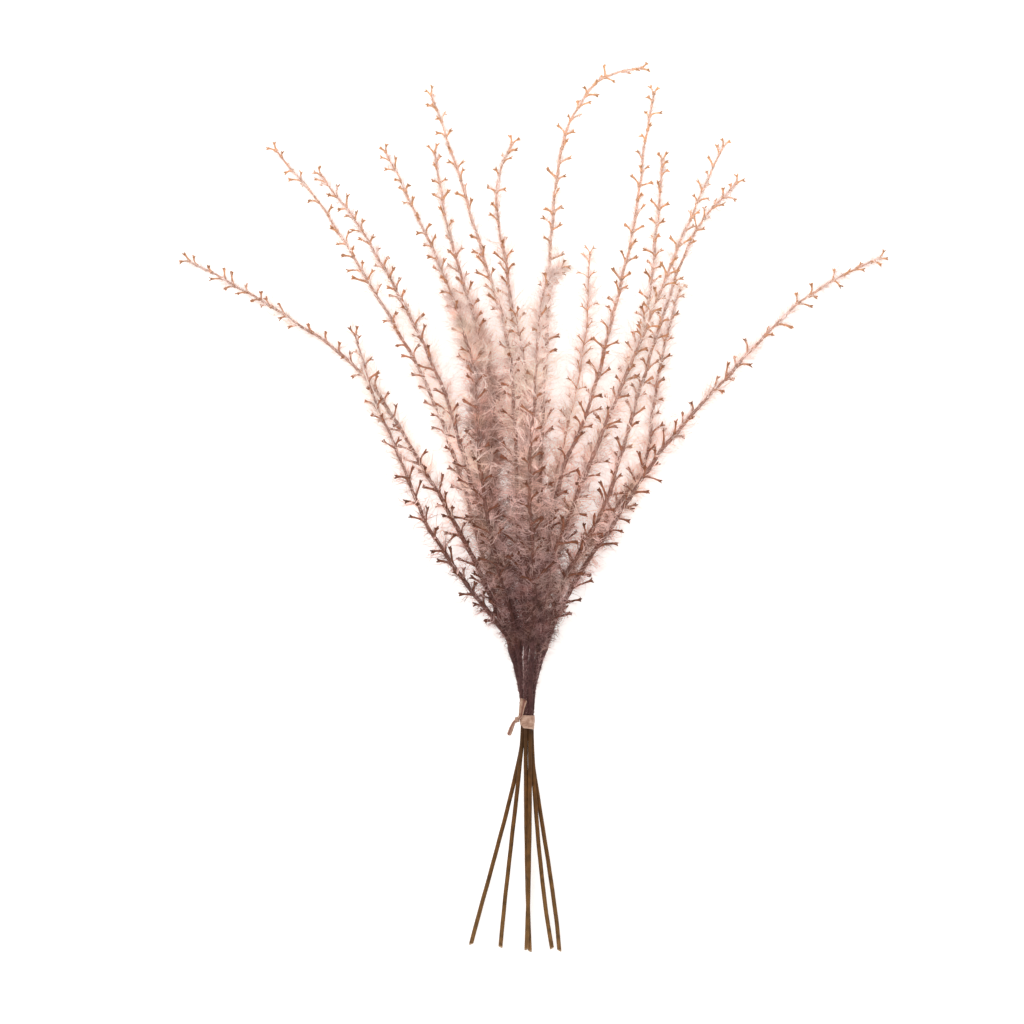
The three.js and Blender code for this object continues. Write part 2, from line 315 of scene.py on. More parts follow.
def stem_path(cut, rise, seat, bend, fork):
    """Two cubic curves that meet in the tie, where both run along +Y, and the way past the fork."""
    angle = math.radians(seat)
    middle = TIE_PLACE + SHIFT + PACKING_RADIUS * np.array([math.cos(angle), 0, math.sin(angle)])
    below = middle - [0, HANDLE_BELOW_TIE, 0]
    above = middle + [0, HANDLE_ABOVE_TIE, 0]
    lower = bezier(placed(cut), placed(rise), below, middle, 90)
    upper = bezier(middle, above, placed(bend), placed(fork), 60)
    onward = upper[-1] + unit(upper[-1] - placed(bend)) * SLEEVE_REACH
    return evenly(np.concatenate([lower, upper[1:], onward[None]]), STEM_RINGS)


def stem_shape(path, phase):
    """A ridged rod: radius = stem radius * (1 + ridges + lumps + wraps + swell).

    Ridges are a low cosine wave round the stem that turns slowly along it, lumps are two crossed
    sine waves, and a wrap is a slanting step every few millimetres above the tie, where the stem
    is bound. The swell makes the stem a little thicker above the tie and ends in the sleeve.
    """
    along = distances(path)
    left = (along[-1] - along)[:, None]
    angle = np.arange(STEM_SIDES)[None, :] * (2 * math.pi / STEM_SIDES)
    place = along[:, None]
    ridges = RIDGE_HEIGHT * np.cos(RIDGES * angle + place * RIDGE_TURN + phase)
    lumps = LUMP_HEIGHT * np.sin(place * 210 + phase) * np.sin(place * 67 + 2 * phase + angle)
    wraps = WRAP_HEIGHT * ((place / WRAP_PITCH + angle / (2 * math.pi)) % 1)
    above_tie = np.clip((path[:, 1:2] - TIE_PLACE[1]) / WRAPS_START - 1, 0, 1)
    sleeve_share = np.clip(1 - (left - SLEEVE_REACH) / SLEEVE_LENGTH, 0, 1)
    end_share = np.clip(1 - left / SLEEVE_END, 0, 1)
    sleeve = (SLEEVE_RADIUS / STEM_RADIUS - 1) * sleeve_share**1.5
    sleeve = sleeve * (1 - SLEEVE_DRAWN_IN * end_share**2)
    swell = np.maximum(sleeve, (FLOCKED_RADIUS / STEM_RADIUS - 1) * above_tie)
    radii = STEM_RADIUS * (1 + ridges + lumps + above_tie * wraps + swell)
    corners, triangles = rods(path[None], radii[None], np.array([[1.0, 0.0, 0.3]]), STEM_SIDES)
    slant = np.zeros(len(corners))
    slant[:STEM_SIDES] = CUT_SLANT * np.cos(angle[0] + phase)
    corners[:, 1] += slant
    corners[:, 2] = np.maximum(corners[:, 2], LOWEST)
    return corners, triangles


stem_finish = dried_stem_material()
stem_paths = [stem_path(*stem) for stem in STEMS]
for number, path in enumerate(stem_paths, 1):
    shape = stem_shape(path, 1.7 * number)
    cut_mark = np.zeros(len(shape[0]))
    cut_mark[:STEM_SIDES] = 1
    make_piece(f"dried_stem_{number}", shape, stem_finish, "stem", f"stem_{number}", cut=cut_mark)

# ------------------------------------------------------------------ the branches
# Three on each stem: a long arching stalk as stiff as wire, bound like yarn, with short twigs
# all round that flare into a small crown of three blunt prongs. Dyed dark plum at the fork,
# mauve brown in the middle and a pale orange peach at the tips.

STALK_FOOT_RADIUS = 1.3 * MM
# rows of (share of the length, radius in millimetres)
STALK_RADII = [(0, 1.3), (0.08, 1.55), (0.35, 1.35), (0.7, 0.95), (1, 0.6)]
STALK_SIDES = 10
STALK_RING_SPACING = 1.5 * MM
TWIST = 7 * MM                     # length of one turn of the stalk's twisted fibres
WAVER = 0.25 * MM                  # how far a stalk strays from its smooth route
WAVE_LENGTHS = np.array([27, 44, 31, 49]) * MM   # of two waves to the sides and two up and down
WAVER_RISE = 0.6                   # how high the waves go up and down for each unit to the sides
WAVER_GROWS = 40 * MM              # the length over which the waves grow
STRAND_HEIGHT = 0.09               # this and the next as a share of the stalk's radius
SWELLING = 0.14
FOOT_STRAIGHT = 8 * MM
CLEARANCE = 0.3 * MM
STALK_SPREAD = (2 * STALK_FOOT_RADIUS + CLEARANCE) / math.sqrt(3)

TWIG_LENGTH = 13.5 * MM
TWIG_END_LENGTH = 6.5 * MM
TWIG_RADIUS = 0.68 * MM
TWIG_SIDES = 5
TWIG_RINGS = [0, 0.2, 0.42, 0.68, 0.88, 1.0]      # where a twig's rings stand along it
TWIG_THICKNESS = [2.1, 1.4, 1.0, 0.9, 1.2, 1.7]   # at each of them, as a share of TWIG_RADIUS
PAIR_SPACING = 11.5 * MM           # twigs stand in pairs, a little closer together toward the tip
PAIR_END_SPACING = 10.0 * MM
PAIR_SCATTER = 0.6 * MM
# in the middle of the bunch the pairs stand closer, at this share of the usual spacing
LEAFY_BRANCHES = {
    "branch_2b": 0.7, "branch_2c": 0.72, "branch_3a": 0.72, "branch_3b": 0.75, "branch_3c": 0.75,
}
SINGLE_SHARE = 0.2                 # of the twigs has broken off, so that the other stands alone
FIRST_TWIG_PLACE = 12 * MM
BARE_TWIG_PLACE = 34 * MM          # and inside the bunch, where down would hide the lowest ones
BARE_BRANCHES = (
    "branch_2b", "branch_2c", "branch_3a", "branch_3b", "branch_3c", "branch_4a", "branch_4b",
    "branch_4c", "branch_5b",
)
TWIGLESS_END = 9 * MM              # but for the last three twigs, which stand at fixed places
END_FORK_LENGTH = 6.3 * MM         # a branch ends in a fork of two twigs, which takes this much
LAST_TWIG_PLACES = [6.5, 0.8, 0.6]   # millimetres back from the end of the stalk
LAST_TURNS = [40, 0, 180]          # degrees on from the twig before them
LAST_LEANS = [44, 30, 24]          # degrees away from the stalk
TWIG_LEAN = 49
LEAN_SCATTER = 9
PAIR_TURN = 68                     # degrees round the stalk from one pair to the next
TURN_SCATTER = 16
FIRST_TURN_STEP = 57               # and from one branch's first pair to the next branch's
TWIG_RISE = 0.55                   # the bunch is pressed flat: twigs rise less than they spread
PRONG_LENGTH = 1.8 * MM
PRONG_RADIUS = 0.52 * MM
PRONG_SIDES = 4
PRONG_SPREAD = 0.85                # sideways share of a prong's direction
FLOOR_GAP = 0.3 * MM

# The routes' points in millimetres, three branches for each stem.
BRANCHES = [
    [
        [(-40, -38, 12), (-75, 26, 7.5), (-119, 93, 6.5), (-176, 135, 6.5), (-240, 171, 8)],
        [(-42, -57, 23), (-73, -11, 26), (-91, 33, 29), (-110, 78, 32), (-123, 124, 35)],
        [(-33, -40, 11), (-53, 30, 7.5), (-76, 89, 8), (-112, 152, 11), (-147, 208, 15),
         (-180, 247, 18)],
    ],
    [
        [(-28, -30, 33), (-45, 24, 40), (-62, 80, 46), (-90, 140, 52), (-122, 195, 57),
         (-149, 230, 60)],
        [(-25, -40, 42), (-37, 26, 55), (-41, 92, 66), (-62, 158, 75), (-83, 204, 81),
         (-103, 246, 85)],
        [(-23, -40, 25), (-31, 20, 27), (-28, 77, 30), (-43, 134, 33), (-59, 190, 36),
         (-69, 247, 39)],
    ],
    [
        [(-11, -30, 43), (-13, 40, 51), (-19, 115, 58), (-36, 173, 62), (-53, 230, 66),
         (-72, 285, 69)],
        [(-7, -30, 33), (-8, 30, 36), (-11, 95, 41), (-19, 160, 45), (-26, 215, 48),
         (-14, 252, 50)],
        [(-5, -35, 51), (-3, 25, 65), (-5, 80, 76), (-14, 136, 83)],
    ],
    [
        [(2, -30, 51), (4, 40, 64), (8, 120, 74), (12, 198, 82), (22, 256, 86), (44, 288, 88),
         (78, 298, 89)],
        [(-1, -40, 62), (-4, 20, 80), (0, 80, 93), (3, 128, 100), (8, 152, 103), (23, 165, 105)],
        [(5, -40, 21.5), (15, 25, 10), (27, 75, 7), (35, 125, 6.5), (37, 179, 8.5)],
    ],
    [
        [(8, -35, 33), (17, 20, 38), (36, 68, 43), (53, 132, 48), (67, 193, 53), (74, 245, 57),
         (81, 286, 60)],
        [(12, -40, 20), (32, 20, 17), (56, 75, 18), (75, 130, 20), (82, 186, 23), (87, 242, 26)],
        [(10, -40, 44), (27, 5, 54), (51, 65, 62), (74, 120, 69), (98, 180, 75), (129, 250, 80)],
    ],
    [
        [(21, -46, 33), (46, 0, 41), (66, 64, 47), (85, 126, 51), (109, 188, 54), (140, 224, 56)],
        [(19, -50, 11), (47, -10, 7.5), (74, 30, 7.5), (81, 75, 10), (90, 120, 14), (100, 154, 17)],
        [(25, -53, 23), (52, -12, 20), (85, 38, 13), (130, 89, 7), (184, 143, 6.5), (239, 173, 8)],
    ],
]


def through(points):
    """A smooth curve through points: one cubic for each gap between two of them.

    The slope at a point is weighed by the square roots of the distances to its neighbours,
    so that the curve doesn't swing out where the points lie unevenly.
    """
    ends = np.concatenate([[2 * points[0] - points[1]], points, [2 * points[-1] - points[-2]]])
    gaps = np.sqrt(np.linalg.norm(np.diff(ends, axis=0), axis=1))[:, None]
    before, here, after, beyond = ends[:-3], ends[1:-2], ends[2:-1], ends[3:]
    gap_before, gap, gap_after = gaps[:-2], gaps[1:-1], gaps[2:]
    leave = gap * (
        (here - before) / gap_before - (after - before) / (gap_before + gap) + (after - here) / gap)
    arrive = gap * (
        (after - here) / gap - (beyond - here) / (gap + gap_after) + (beyond - after) / gap_after)
    t = np.linspace(0, 1, 40, endpoint=False)[None, :, None]
    here, after, leave, arrive = (values[:, None, :] for values in (here, after, leave, arrive))
    curve = (here + leave * t + (3 * after - 3 * here - 2 * leave - arrive) * t**2
             + (2 * here - 2 * after + leave + arrive) * t**3)
    return np.concatenate([curve.reshape(-1, 3), points[-1:]])


def branch_paths(stem, routes):
    """The three branches of a fork start side by side, in the order in which they turn away."""
    fork = placed(stem[4])
    along = unit(fork - placed(stem[3]))
    sideways = unit(np.cross([0, 0, 1], along))
    upward = np.cross(along, sideways)
    ways = [placed(route[0]) - fork for route in routes]
    headings = np.array([math.atan2(way @ upward, way @ sideways) for way in ways])
    turns = (headings - headings[0] + math.pi) % (2 * math.pi) - math.pi
    ranks = np.argsort(np.argsort(turns))
    angles = headings[0] + np.sort(turns)[1] + (ranks - 1) * (2 * math.pi / 3)
    paths = []
    for route, angle in zip(routes, angles):
        foot = fork + CLEARANCE * along
        foot = foot + STALK_SPREAD * (math.cos(angle) * sideways + math.sin(angle) * upward)
        knee = foot + FOOT_STRAIGHT * along
        paths.append(through(np.array([foot, knee, *[placed(point) for point in route]])))
    return paths


def wavering(path, chance):
    """The path up to its last fork, with small slow waves to the sides and up and down.

    A wave is WAVER * sin(2 pi * place / wave length + a random start), and none at the foot.
    """
    length = distances(path)[-1] - END_FORK_LENGTH
    path = points_at(path, np.linspace(0, length, int(length / STALK_RING_SPACING)))
    place = distances(path)[:, None]
    growing = np.clip(place / WAVER_GROWS - 0.2, 0, 1) * WAVER
    waves = np.sin(place * 2 * math.pi / WAVE_LENGTHS + chance.uniform(0, 2 * math.pi, 4))
    aside, rise = waves[:, :1] + waves[:, 1:2], waves[:, 2:3] + waves[:, 3:]
    along = unit(np.gradient(path, axis=0))
    across = unit(np.cross(along, [0, 0, 1.0]))
    moved = path + growing * (aside * across + WAVER_RISE * rise * np.cross(across, along))
    moved[:, 2] = np.maximum(moved[:, 2], FLOOR_GAP + STALK_FOOT_RADIUS)
    return moved


def stalk_shape(path, thicker, chance):
    """A tapering rod: radius = the table's * thicker * (1 + strands + SWELLING * swelling).

    The strands are a cosine wave of three crests that turns along the stalk, and the swelling
    is random from ring to ring, smoothed over three rings.
    """
    length = distances(path)[-1]
    ring_count = len(path)
    share = np.linspace(0, 1, ring_count)[:, None]
    angle = np.arange(STALK_SIDES)[None, :] * (2 * math.pi / STALK_SIDES)
    strands = STRAND_HEIGHT * np.cos(3 * angle + share * length / TWIST * 2 * math.pi)
    swelling = np.convolve(chance.normal(size=ring_count + 2), [0.3, 0.4, 0.3], "valid")[:, None]
    rows = np.array(STALK_RADII)
    radii = thicker * np.interp(share, rows[:, 0], rows[:, 1]) * MM
    radii = radii * (1 + strands + SWELLING * swelling)
    return rods(path[None], radii[None], np.array([[0.25, 0.1, 1.0]]), STALK_SIDES)


def twig_paths(path, first_place, first_turn, closer, chance):
    """Where twigs run: off the stalk at a narrow angle, then bending away from it.

    A twig's end lies out * sin(lean) + along * cos(lean) from its root, and its middle is
    pushed toward the stalk's direction. Returns (twig, ring, xyz).
    """
    length = distances(path)[-1]
    pair_count = int(2 * length / (PAIR_SPACING + PAIR_END_SPACING) / closer)
    steps = np.linspace(PAIR_SPACING, PAIR_END_SPACING, pair_count)
    closeness = np.interp(np.linspace(0, 1, pair_count), [0.5, 0.75], [closer, 1])
    steps = steps * closeness * chance.uniform(0.8, 1.2, pair_count)
    places = np.repeat(first_place + np.cumsum(steps), 2)
    places = places + chance.normal(0, PAIR_SCATTER, len(places))
    order = np.arange(len(places))
    turns = first_turn + PAIR_TURN * (order // 2) + 180 * (order % 2)
    kept = (places < length - TWIGLESS_END) & (chance.uniform(size=len(places)) > SINGLE_SHARE)
    places = np.concatenate([places[kept], length - np.array(LAST_TWIG_PLACES) * MM])
    turns = np.concatenate([turns[kept], turns[-1:] + LAST_TURNS])
    count = len(places)
    root = points_at(path, places)
    along = unit(points_at(path, places + 0.2 * MM) - points_at(path, places - 2 * MM))
    sideways = unit(np.cross([0, 0, 1], along))
    upward = np.cross(along, sideways)
    angle = np.radians(turns + chance.normal(0, TURN_SCATTER, count))[:, None]
    angle[-2:, 0] = [0.2, math.pi + 0.2]   # the two of the last fork, one to each side
    out = unit(np.cos(angle) * sideways + TWIG_RISE * np.sin(angle) * upward)
    share = (places / length)[:, None]
    lean = np.radians(TWIG_LEAN + chance.normal(0, LEAN_SCATTER, (count, 1)))
    lean[-3:, 0] = np.radians(LAST_LEANS)
    reach = TWIG_LENGTH + (TWIG_END_LENGTH - TWIG_LENGTH) * share
    reach = reach * chance.uniform(0.6, 1.2, (count, 1))
    reach[-2:, 0] = END_FORK_LENGTH * chance.uniform(0.7, 0.95, 2)
    t = np.array(TWIG_RINGS)[None, :, None]
    bow = chance.uniform(-0.05, 0.15, (count, 1, 1)) * np.sin(math.pi * t)
    twigs = (root[:, None] + (out * reach * np.sin(lean))[:, None] * (t - bow)
             + (along * reach * np.cos(lean))[:, None] * (t + bow))
    twigs[..., 2] = np.maximum(twigs[..., 2], FLOOR_GAP + 1.2 * MM)
    return twigs


def joined(shapes):
    """Several shapes, each corners and triangles, as one."""
    starts = np.cumsum([0] + [len(corners) for corners, _ in shapes[:-1]])
    faces = np.concatenate([triangles + start for (_, triangles), start in zip(shapes, starts)])
    return np.concatenate([corners for corners, _ in shapes]), faces


def twig_shapes(paths, thicker, chance):
    """Each twig is a rod that flares at its end into a crown of three prongs.

    A prong is a short rod from the twig's end along way + spread * sideways, and the three
    stand a third of a turn apart. Returns the shape with, for each corner, how far along the
    twig it lies and a number that is the same all over one twig.
    """
    count, ring_count = paths.shape[:2]
    thickness = chance.uniform(0.85, 1.15, count) * np.linspace(1.15, 0.9, count) * thicker
    guides = unit(np.cross(paths[:, -1] - paths[:, 0], chance.normal(size=(count, 3))))
    radii = TWIG_RADIUS * thickness[:, None] * np.array([TWIG_THICKNESS])
    shapes = [rods(paths, radii, guides, TWIG_SIDES)]
    way = unit(paths[:, -1] - paths[:, -2])
    across = unit(np.cross(way, guides))
    up = np.cross(way, across)
    first = chance.uniform(0, 2 * math.pi, count)
    for turn in (0, 2 * math.pi / 3, 4 * math.pi / 3):
        angle = (first + turn + chance.normal(0, 0.25, count))[:, None]
        sideways = np.cos(angle) * across + np.sin(angle) * up
        heading = unit(way + PRONG_SPREAD * chance.uniform(0.6, 1.3, (count, 1)) * sideways)
        reach = PRONG_LENGTH * chance.uniform(0.6, 1.3, (count, 1))
        t = np.array([-0.2, 0.55, 1.0])[None, :, None]
        prong = (paths[:, -1] + 0.35 * MM * sideways)[:, None] + (heading * reach)[:, None] * t
        prong[..., 2] = np.maximum(prong[..., 2], FLOOR_GAP + PRONG_RADIUS)
        radii = PRONG_RADIUS * thickness[:, None] * np.array([[1.0, 1.1, 0.55]])
        shapes.append(rods(prong, radii, way, PRONG_SIDES))
    prong_corners = 3 * PRONG_SIDES
    twig_along = np.tile(np.repeat(np.linspace(0, 1, ring_count), TWIG_SIDES), count)
    along = np.concatenate([twig_along, np.full(3 * count * prong_corners, 1.2)])
    own = chance.uniform(0, 1, count)
    kind = np.concatenate([
        np.repeat(own, ring_count * TWIG_SIDES), np.tile(np.repeat(own, prong_corners), 3)])
    return joined(shapes), along, kind


def dyed_stalk_material():
    """Dyed dried stalk: a dull surface, blotched where the dye took unevenly."""
    material, tree, place, share = new_material("dyed_grass_stalk")
    paler = add_node(tree, "ShaderNodeAttribute", {"attribute_name": "paler"}).outputs["Fac"]
    shade = add_node(tree, "ShaderNodeMath", {"operation": "ADD"}, i0=share, i1=paler)
    stalk = add_node(tree, "ShaderNodeValToRGB", {"stops": shades_along([
        (-100, "#553630"), (-60, "#644038"), (-20, "#70483d"), (15, "#7f5445"), (50, "#91675a"),
        (90, "#a27566"), (140, "#b58672"), (190, "#cc9e88"), (240, "#daa68a"), (290, "#e7b596"),
    ])}, Fac=shade.outputs["Value"])
    twig = add_node(tree, "ShaderNodeValToRGB", {"stops": shades_along([
        (-100, "#633c30"), (-60, "#754a3a"), (-20, "#81523f"), (15, "#8e5b46"), (50, "#a26a52"),
        (90, "#b67d60"), (140, "#c68d6c"), (190, "#d39c75"), (240, "#dfa67e"), (290, "#e9b286"),
    ])}, Fac=shade.outputs["Value"])
    # along runs from 0 at a twig's root to 1 at its crown, and is -1 on the stalk itself
    along = add_node(tree, "ShaderNodeAttribute", {"attribute_name": "along"}).outputs["Fac"]
    kind = add_node(tree, "ShaderNodeAttribute", {"attribute_name": "kind"}).outputs["Fac"]
    on_twig = add_node(tree, "ShaderNodeMapRange", Value=along, From_Min=-0.2, From_Max=0.5)
    colour = add_node(tree, "ShaderNodeMix", {"data_type": "RGBA"}, i0=on_twig.outputs["Result"],
                      i6=stalk.outputs["Color"], i7=twig.outputs["Color"])
    # some crowns are much darker than their twigs
    crown = add_node(tree, "ShaderNodeMapRange", Value=along, From_Min=0.75, From_Max=1.15)
    dark = add_node(tree, "ShaderNodeMapRange", Value=kind, From_Min=0.2, From_Max=1.0, To_Max=0.55)
    crown_dark = add_node(tree, "ShaderNodeMath", {"operation": "MULTIPLY"},
                          i0=crown.outputs["Result"], i1=dark.outputs["Result"])
    fading = add_node(tree, "ShaderNodeMapRange", Value=share,
                      From_Min=0.55, From_Max=0.9, To_Min=1, To_Max=0.4)
    crown_share = add_node(tree, "ShaderNodeMath", {"operation": "MULTIPLY"},
                           i0=crown_dark.outputs["Value"], i1=fading.outputs["Result"])
    crowned = add_node(tree, "ShaderNodeMix", {"data_type": "RGBA"},
                       i0=crown_share.outputs["Value"],
                       i6=colour.outputs["Result"], i7=linear("#54392f"))
    # stretches of a stalk, some 35 mm long, are greyer, where its coat of hairs is thicker
    stretch = add_node(tree, "ShaderNodeTexNoise", Vector=place, Scale=0.028 / MM, Detail=1)
    grey_share = add_node(tree, "ShaderNodeMapRange", Value=stretch.outputs["Fac"],
                          From_Min=0.5, From_Max=0.68, To_Min=0, To_Max=0.5)
    on_stalk = add_node(tree, "ShaderNodeMath", {"operation": "SUBTRACT", "use_clamp": True},
                        i0=0.6, i1=on_twig.outputs["Result"])
    greyed = add_node(tree, "ShaderNodeMath", {"operation": "MULTIPLY"},
                      i0=grey_share.outputs["Result"], i1=on_stalk.outputs["Value"])
    grey = add_node(tree, "ShaderNodeHueSaturation",
                    Saturation=0.6, Value=1.05, Color=crowned.outputs["Result"])
    mixed = add_node(tree, "ShaderNodeMix", {"data_type": "RGBA"}, i0=greyed.outputs["Value"],
                     i6=crowned.outputs["Result"], i7=grey.outputs["Color"])
    # blotches of 4 mm, and specks of 0.8 mm, coarser than real ones so that they show
    blotch = add_node(tree, "ShaderNodeTexNoise", Vector=place,
                      Scale=0.23 / MM, Detail=4, Roughness=0.6)
    speck = add_node(tree, "ShaderNodeTexNoise", Vector=place, Scale=1.3 / MM, Detail=2)
    mottle = add_node(tree, "ShaderNodeMath", {"operation": "ADD"},
                      i0=blotch.outputs["Fac"], i1=speck.outputs["Fac"])
    light = add_node(tree, "ShaderNodeMapRange", Value=mottle.outputs["Value"],
                     From_Min=0.75, From_Max=1.25, To_Min=0.6, To_Max=1.42)
    tinted = add_node(tree, "ShaderNodeHueSaturation",
                      Value=light.outputs["Result"], Color=mixed.outputs["Result"])
    rough = add_node(tree, "ShaderNodeMapRange", Value=speck.outputs["Fac"],
                     To_Min=0.65, To_Max=0.95)
    bump = add_node(tree, "ShaderNodeBump", Height=mottle.outputs["Value"],
                    Strength=0.6, Distance=0.2 * MM)
    finish_material(tree, add_node(
        tree, "ShaderNodeBsdfPrincipled", Base_Color=tinted.outputs["Color"],
        Roughness=rough.outputs["Result"], Specular_IOR_Level=0.15, Normal=bump.outputs["Normal"]))
    return material


# for each stem: by how many millimetres the shades of its branches run ahead of the others'
STALK_AHEAD = [0, -15, -12, 0, 26, 32]
THIN_BRANCH = "branch_4c"          # one branch is thinner than the others, and paler
THIN_SHARE = 0.5
THIN_AHEAD = 100
stalk_finish = dyed_stalk_material()
branches = []
for stem_number, (stem, routes) in enumerate(zip(STEMS, BRANCHES), 1):
    for letter, route_path in zip("abc", branch_paths(stem, routes)):
        node = f"branch_{stem_number}{letter}"
        number = len(branches)
        chance = np.random.default_rng(100 + number)
        path = wavering(route_path, chance)
        first_place = BARE_TWIG_PLACE if node in BARE_BRANCHES else FIRST_TWIG_PLACE
        closer = LEAFY_BRANCHES.get(node, 1.0)
        twigs = twig_paths(path, first_place, number * FIRST_TURN_STEP, closer, chance)
        thicker, ahead = 1, STALK_AHEAD[stem_number - 1]
        if node == THIN_BRANCH:
            thicker, ahead = THIN_SHARE, THIN_AHEAD
        stalk = stalk_shape(path, thicker, chance)
        twig, along, kind = twig_shapes(twigs, thicker, chance)
        make_piece(f"grass_{node}", joined([stalk, twig]), stalk_finish, "branch", node,
                   along=np.concatenate([np.full(len(stalk[0]), -1.0), along]),
                   kind=np.concatenate([np.zeros(len(stalk[0])), kind]),
                   paler=np.full(len(stalk[0]) + len(twig[0]), ahead * MM / (HIGH_Y - LOW_Y)))
        branches.append((node, path, twigs))

# ------------------------------------------------------------------ the hairs
# Fine silky down, as on mohair, on every stalk and twig: long curly wisps, shorter hairs that
# fill the space between the stalks, and a close coat. It is thick and mauve round the forks,
# pale pink in the middle of the bunch, and thins out to a little fluff at the tips.

WISP_RINGS = 6
WISP_TUFT = 5                      # hairs in a tuft
FILL_RINGS = 3
FILL_TUFT = 3
WISP_WIDTH = 0.30 * MM             # wider than real down, so that it shows
FILL_WIDTH = 0.23 * MM
COAT_WIDTH = 0.20 * MM
COAT_HAIR_CORNERS = 4              # a coat hair is a single three-sided spike
BEND = 0.5                         # how far a hair's tip is bent aside, as a share of its length
CURL_TURN = 7.0                    # radians from a wisp's root to its tip
STALK_SKIN = 0.5 * MM              # where the coat starts, hidden inside the stalk
COAT_ROOT = 0.6 * MM               # and how much of a coat hair is hidden there
ON_TWIG_SHARE = 0.4                # of the tufts that stand near a twig
TUFT_RADIUS = 0.7 * MM
# rows of (millimetres along Y, hairs for each millimetre of branch)
WISPS_ALONG = [
    (-130, 0.6), (-95, 3), (-65, 5), (0, 5), (40, 3.6), (110, 2.8), (150, 2.6), (220, 2.2),
    (300, 1),
]
FILL_ALONG = [
    (-130, 2), (-95, 9), (-70, 12), (-30, 14), (10, 14), (50, 12), (90, 10), (130, 8), (170, 6),
    (220, 5), (300, 3),
]
COAT_ALONG = [(-140, 18), (-60, 14), (20, 13), (220, 13), (300, 9)]
# rows of (millimetres along Y, length of a long hair in millimetres)
WISP_LENGTHS = [
    (-130, 5), (-95, 10), (-60, 15), (0, 18), (60, 20), (110, 18), (160, 13), (220, 8), (300, 6),
]
FILL_LENGTHS = [
    (-130, 4), (-95, 7), (-60, 11), (0, 14), (60, 16), (110, 15), (160, 10), (220, 7), (300, 5),
]
COAT_LENGTHS = [
    (-140, 0.5), (-125, 1.0), (-110, 1.6), (-60, 2.6), (60, 3.0), (140, 3.8), (220, 3.8),
    (300, 2.4),
]
# rows of (millimetres along Y, how much of a hair's rise is left where the bunch is spread flat)
RISE_ALONG = [(-105, 0.35), (-85, 0.9), (-20, 0.8), (30, 0.5), (300, 0.4)]
# rows of (millimetres along Y, how far a hair runs forward along its stalk for each unit outward)
FORWARD_ALONG = [(-110, 1.2), (-80, 0.7), (-10, 0.9), (50, 1.3), (300, 1.6)]
# rows of (millimetres along Y, share of the hairs that hang down below their stalk)
HANGING_ALONG = [(-90, 0.2), (-60, 0.42), (0, 0.62), (80, 0.85), (300, 0.85)]
# The wisps and the fill: hairs along the branch, their lengths, rings in a hair, hairs in a tuft,
# how much the hairs of a tuft differ, how much they curl, how wide they are, and the lowest and
# the highest of their tones.
HAIR_KINDS = [
    (WISPS_ALONG, WISP_LENGTHS, WISP_RINGS, WISP_TUFT, 0.22, 0.17, WISP_WIDTH, 0.6, 1.12),
    (FILL_ALONG, FILL_LENGTHS, FILL_RINGS, FILL_TUFT, 0.5, 0.0, FILL_WIDTH, -0.3, 0.5),
]
# Some branches have more, in stretches: one in the middle ends in a plume, two beside it are
# bushy and brown, others have a thick pale coat. A row is the branch, rows of (millimetres
# along Y, hairs for each millimetre of branch), the length as a share of what the fill has
# there, the lowest tone, and by how many millimetres the shades run ahead.
PLUMES = [
    ("branch_4b", [(90, 0), (115, 12), (150, 14), (158, 22), (170, 38)], 1.25, -0.1, 0),
    ("branch_1c", [(-80, 0), (-60, 24), (0, 20), (50, 6), (90, 0)], 0.3, 0.8, 45),
    ("branch_2b", [(35, 0), (55, 28), (120, 28), (150, 14), (175, 0)], 1.1, 0.0, -45),
    ("branch_2c", [(-70, 0), (-50, 10), (-15, 22), (30, 22), (50, 0)], 1.2, 0.0, 5),
    ("branch_2c", [(30, 0), (50, 22), (120, 22), (145, 0)], 1.1, 0.0, -45),
    ("branch_3a", [(-70, 0), (-50, 20), (60, 20), (110, 6), (150, 0)], 0.24, 0.6, 0),
    ("branch_5b", [(-75, 0), (-50, 16), (-25, 20), (-8, 6), (10, 0)], 1.0, -0.3, 12),
    ("branch_5c", [(-50, 0), (-30, 18), (60, 16), (110, 5), (150, 0)], 0.24, 0.6, 28),
    ("branch_6a", [(-102, 0), (-94, 12), (-80, 12), (-68, 24), (-52, 20), (-42, 0)], 0.85, 1.1, 35),
    ("branch_6b", [(-55, 0), (-42, 16), (-20, 16), (-5, 0)], 0.9, -0.7, 50),
]
PLUME_DROOP = 0.35                 # fewer of these hang down, so that they cover the stalk
# from the first Y in millimetres to the second thick down thins out, to this share at most
TIP_STARTS = 75
TIP_SETTLES = 150
TIP_THICKER = 0.9
THICK_STRETCH = 38 * MM            # from one thick stretch of down to the next along a branch
THICK_SWING = 0.45                 # and how much thicker or thinner it gets, as a share
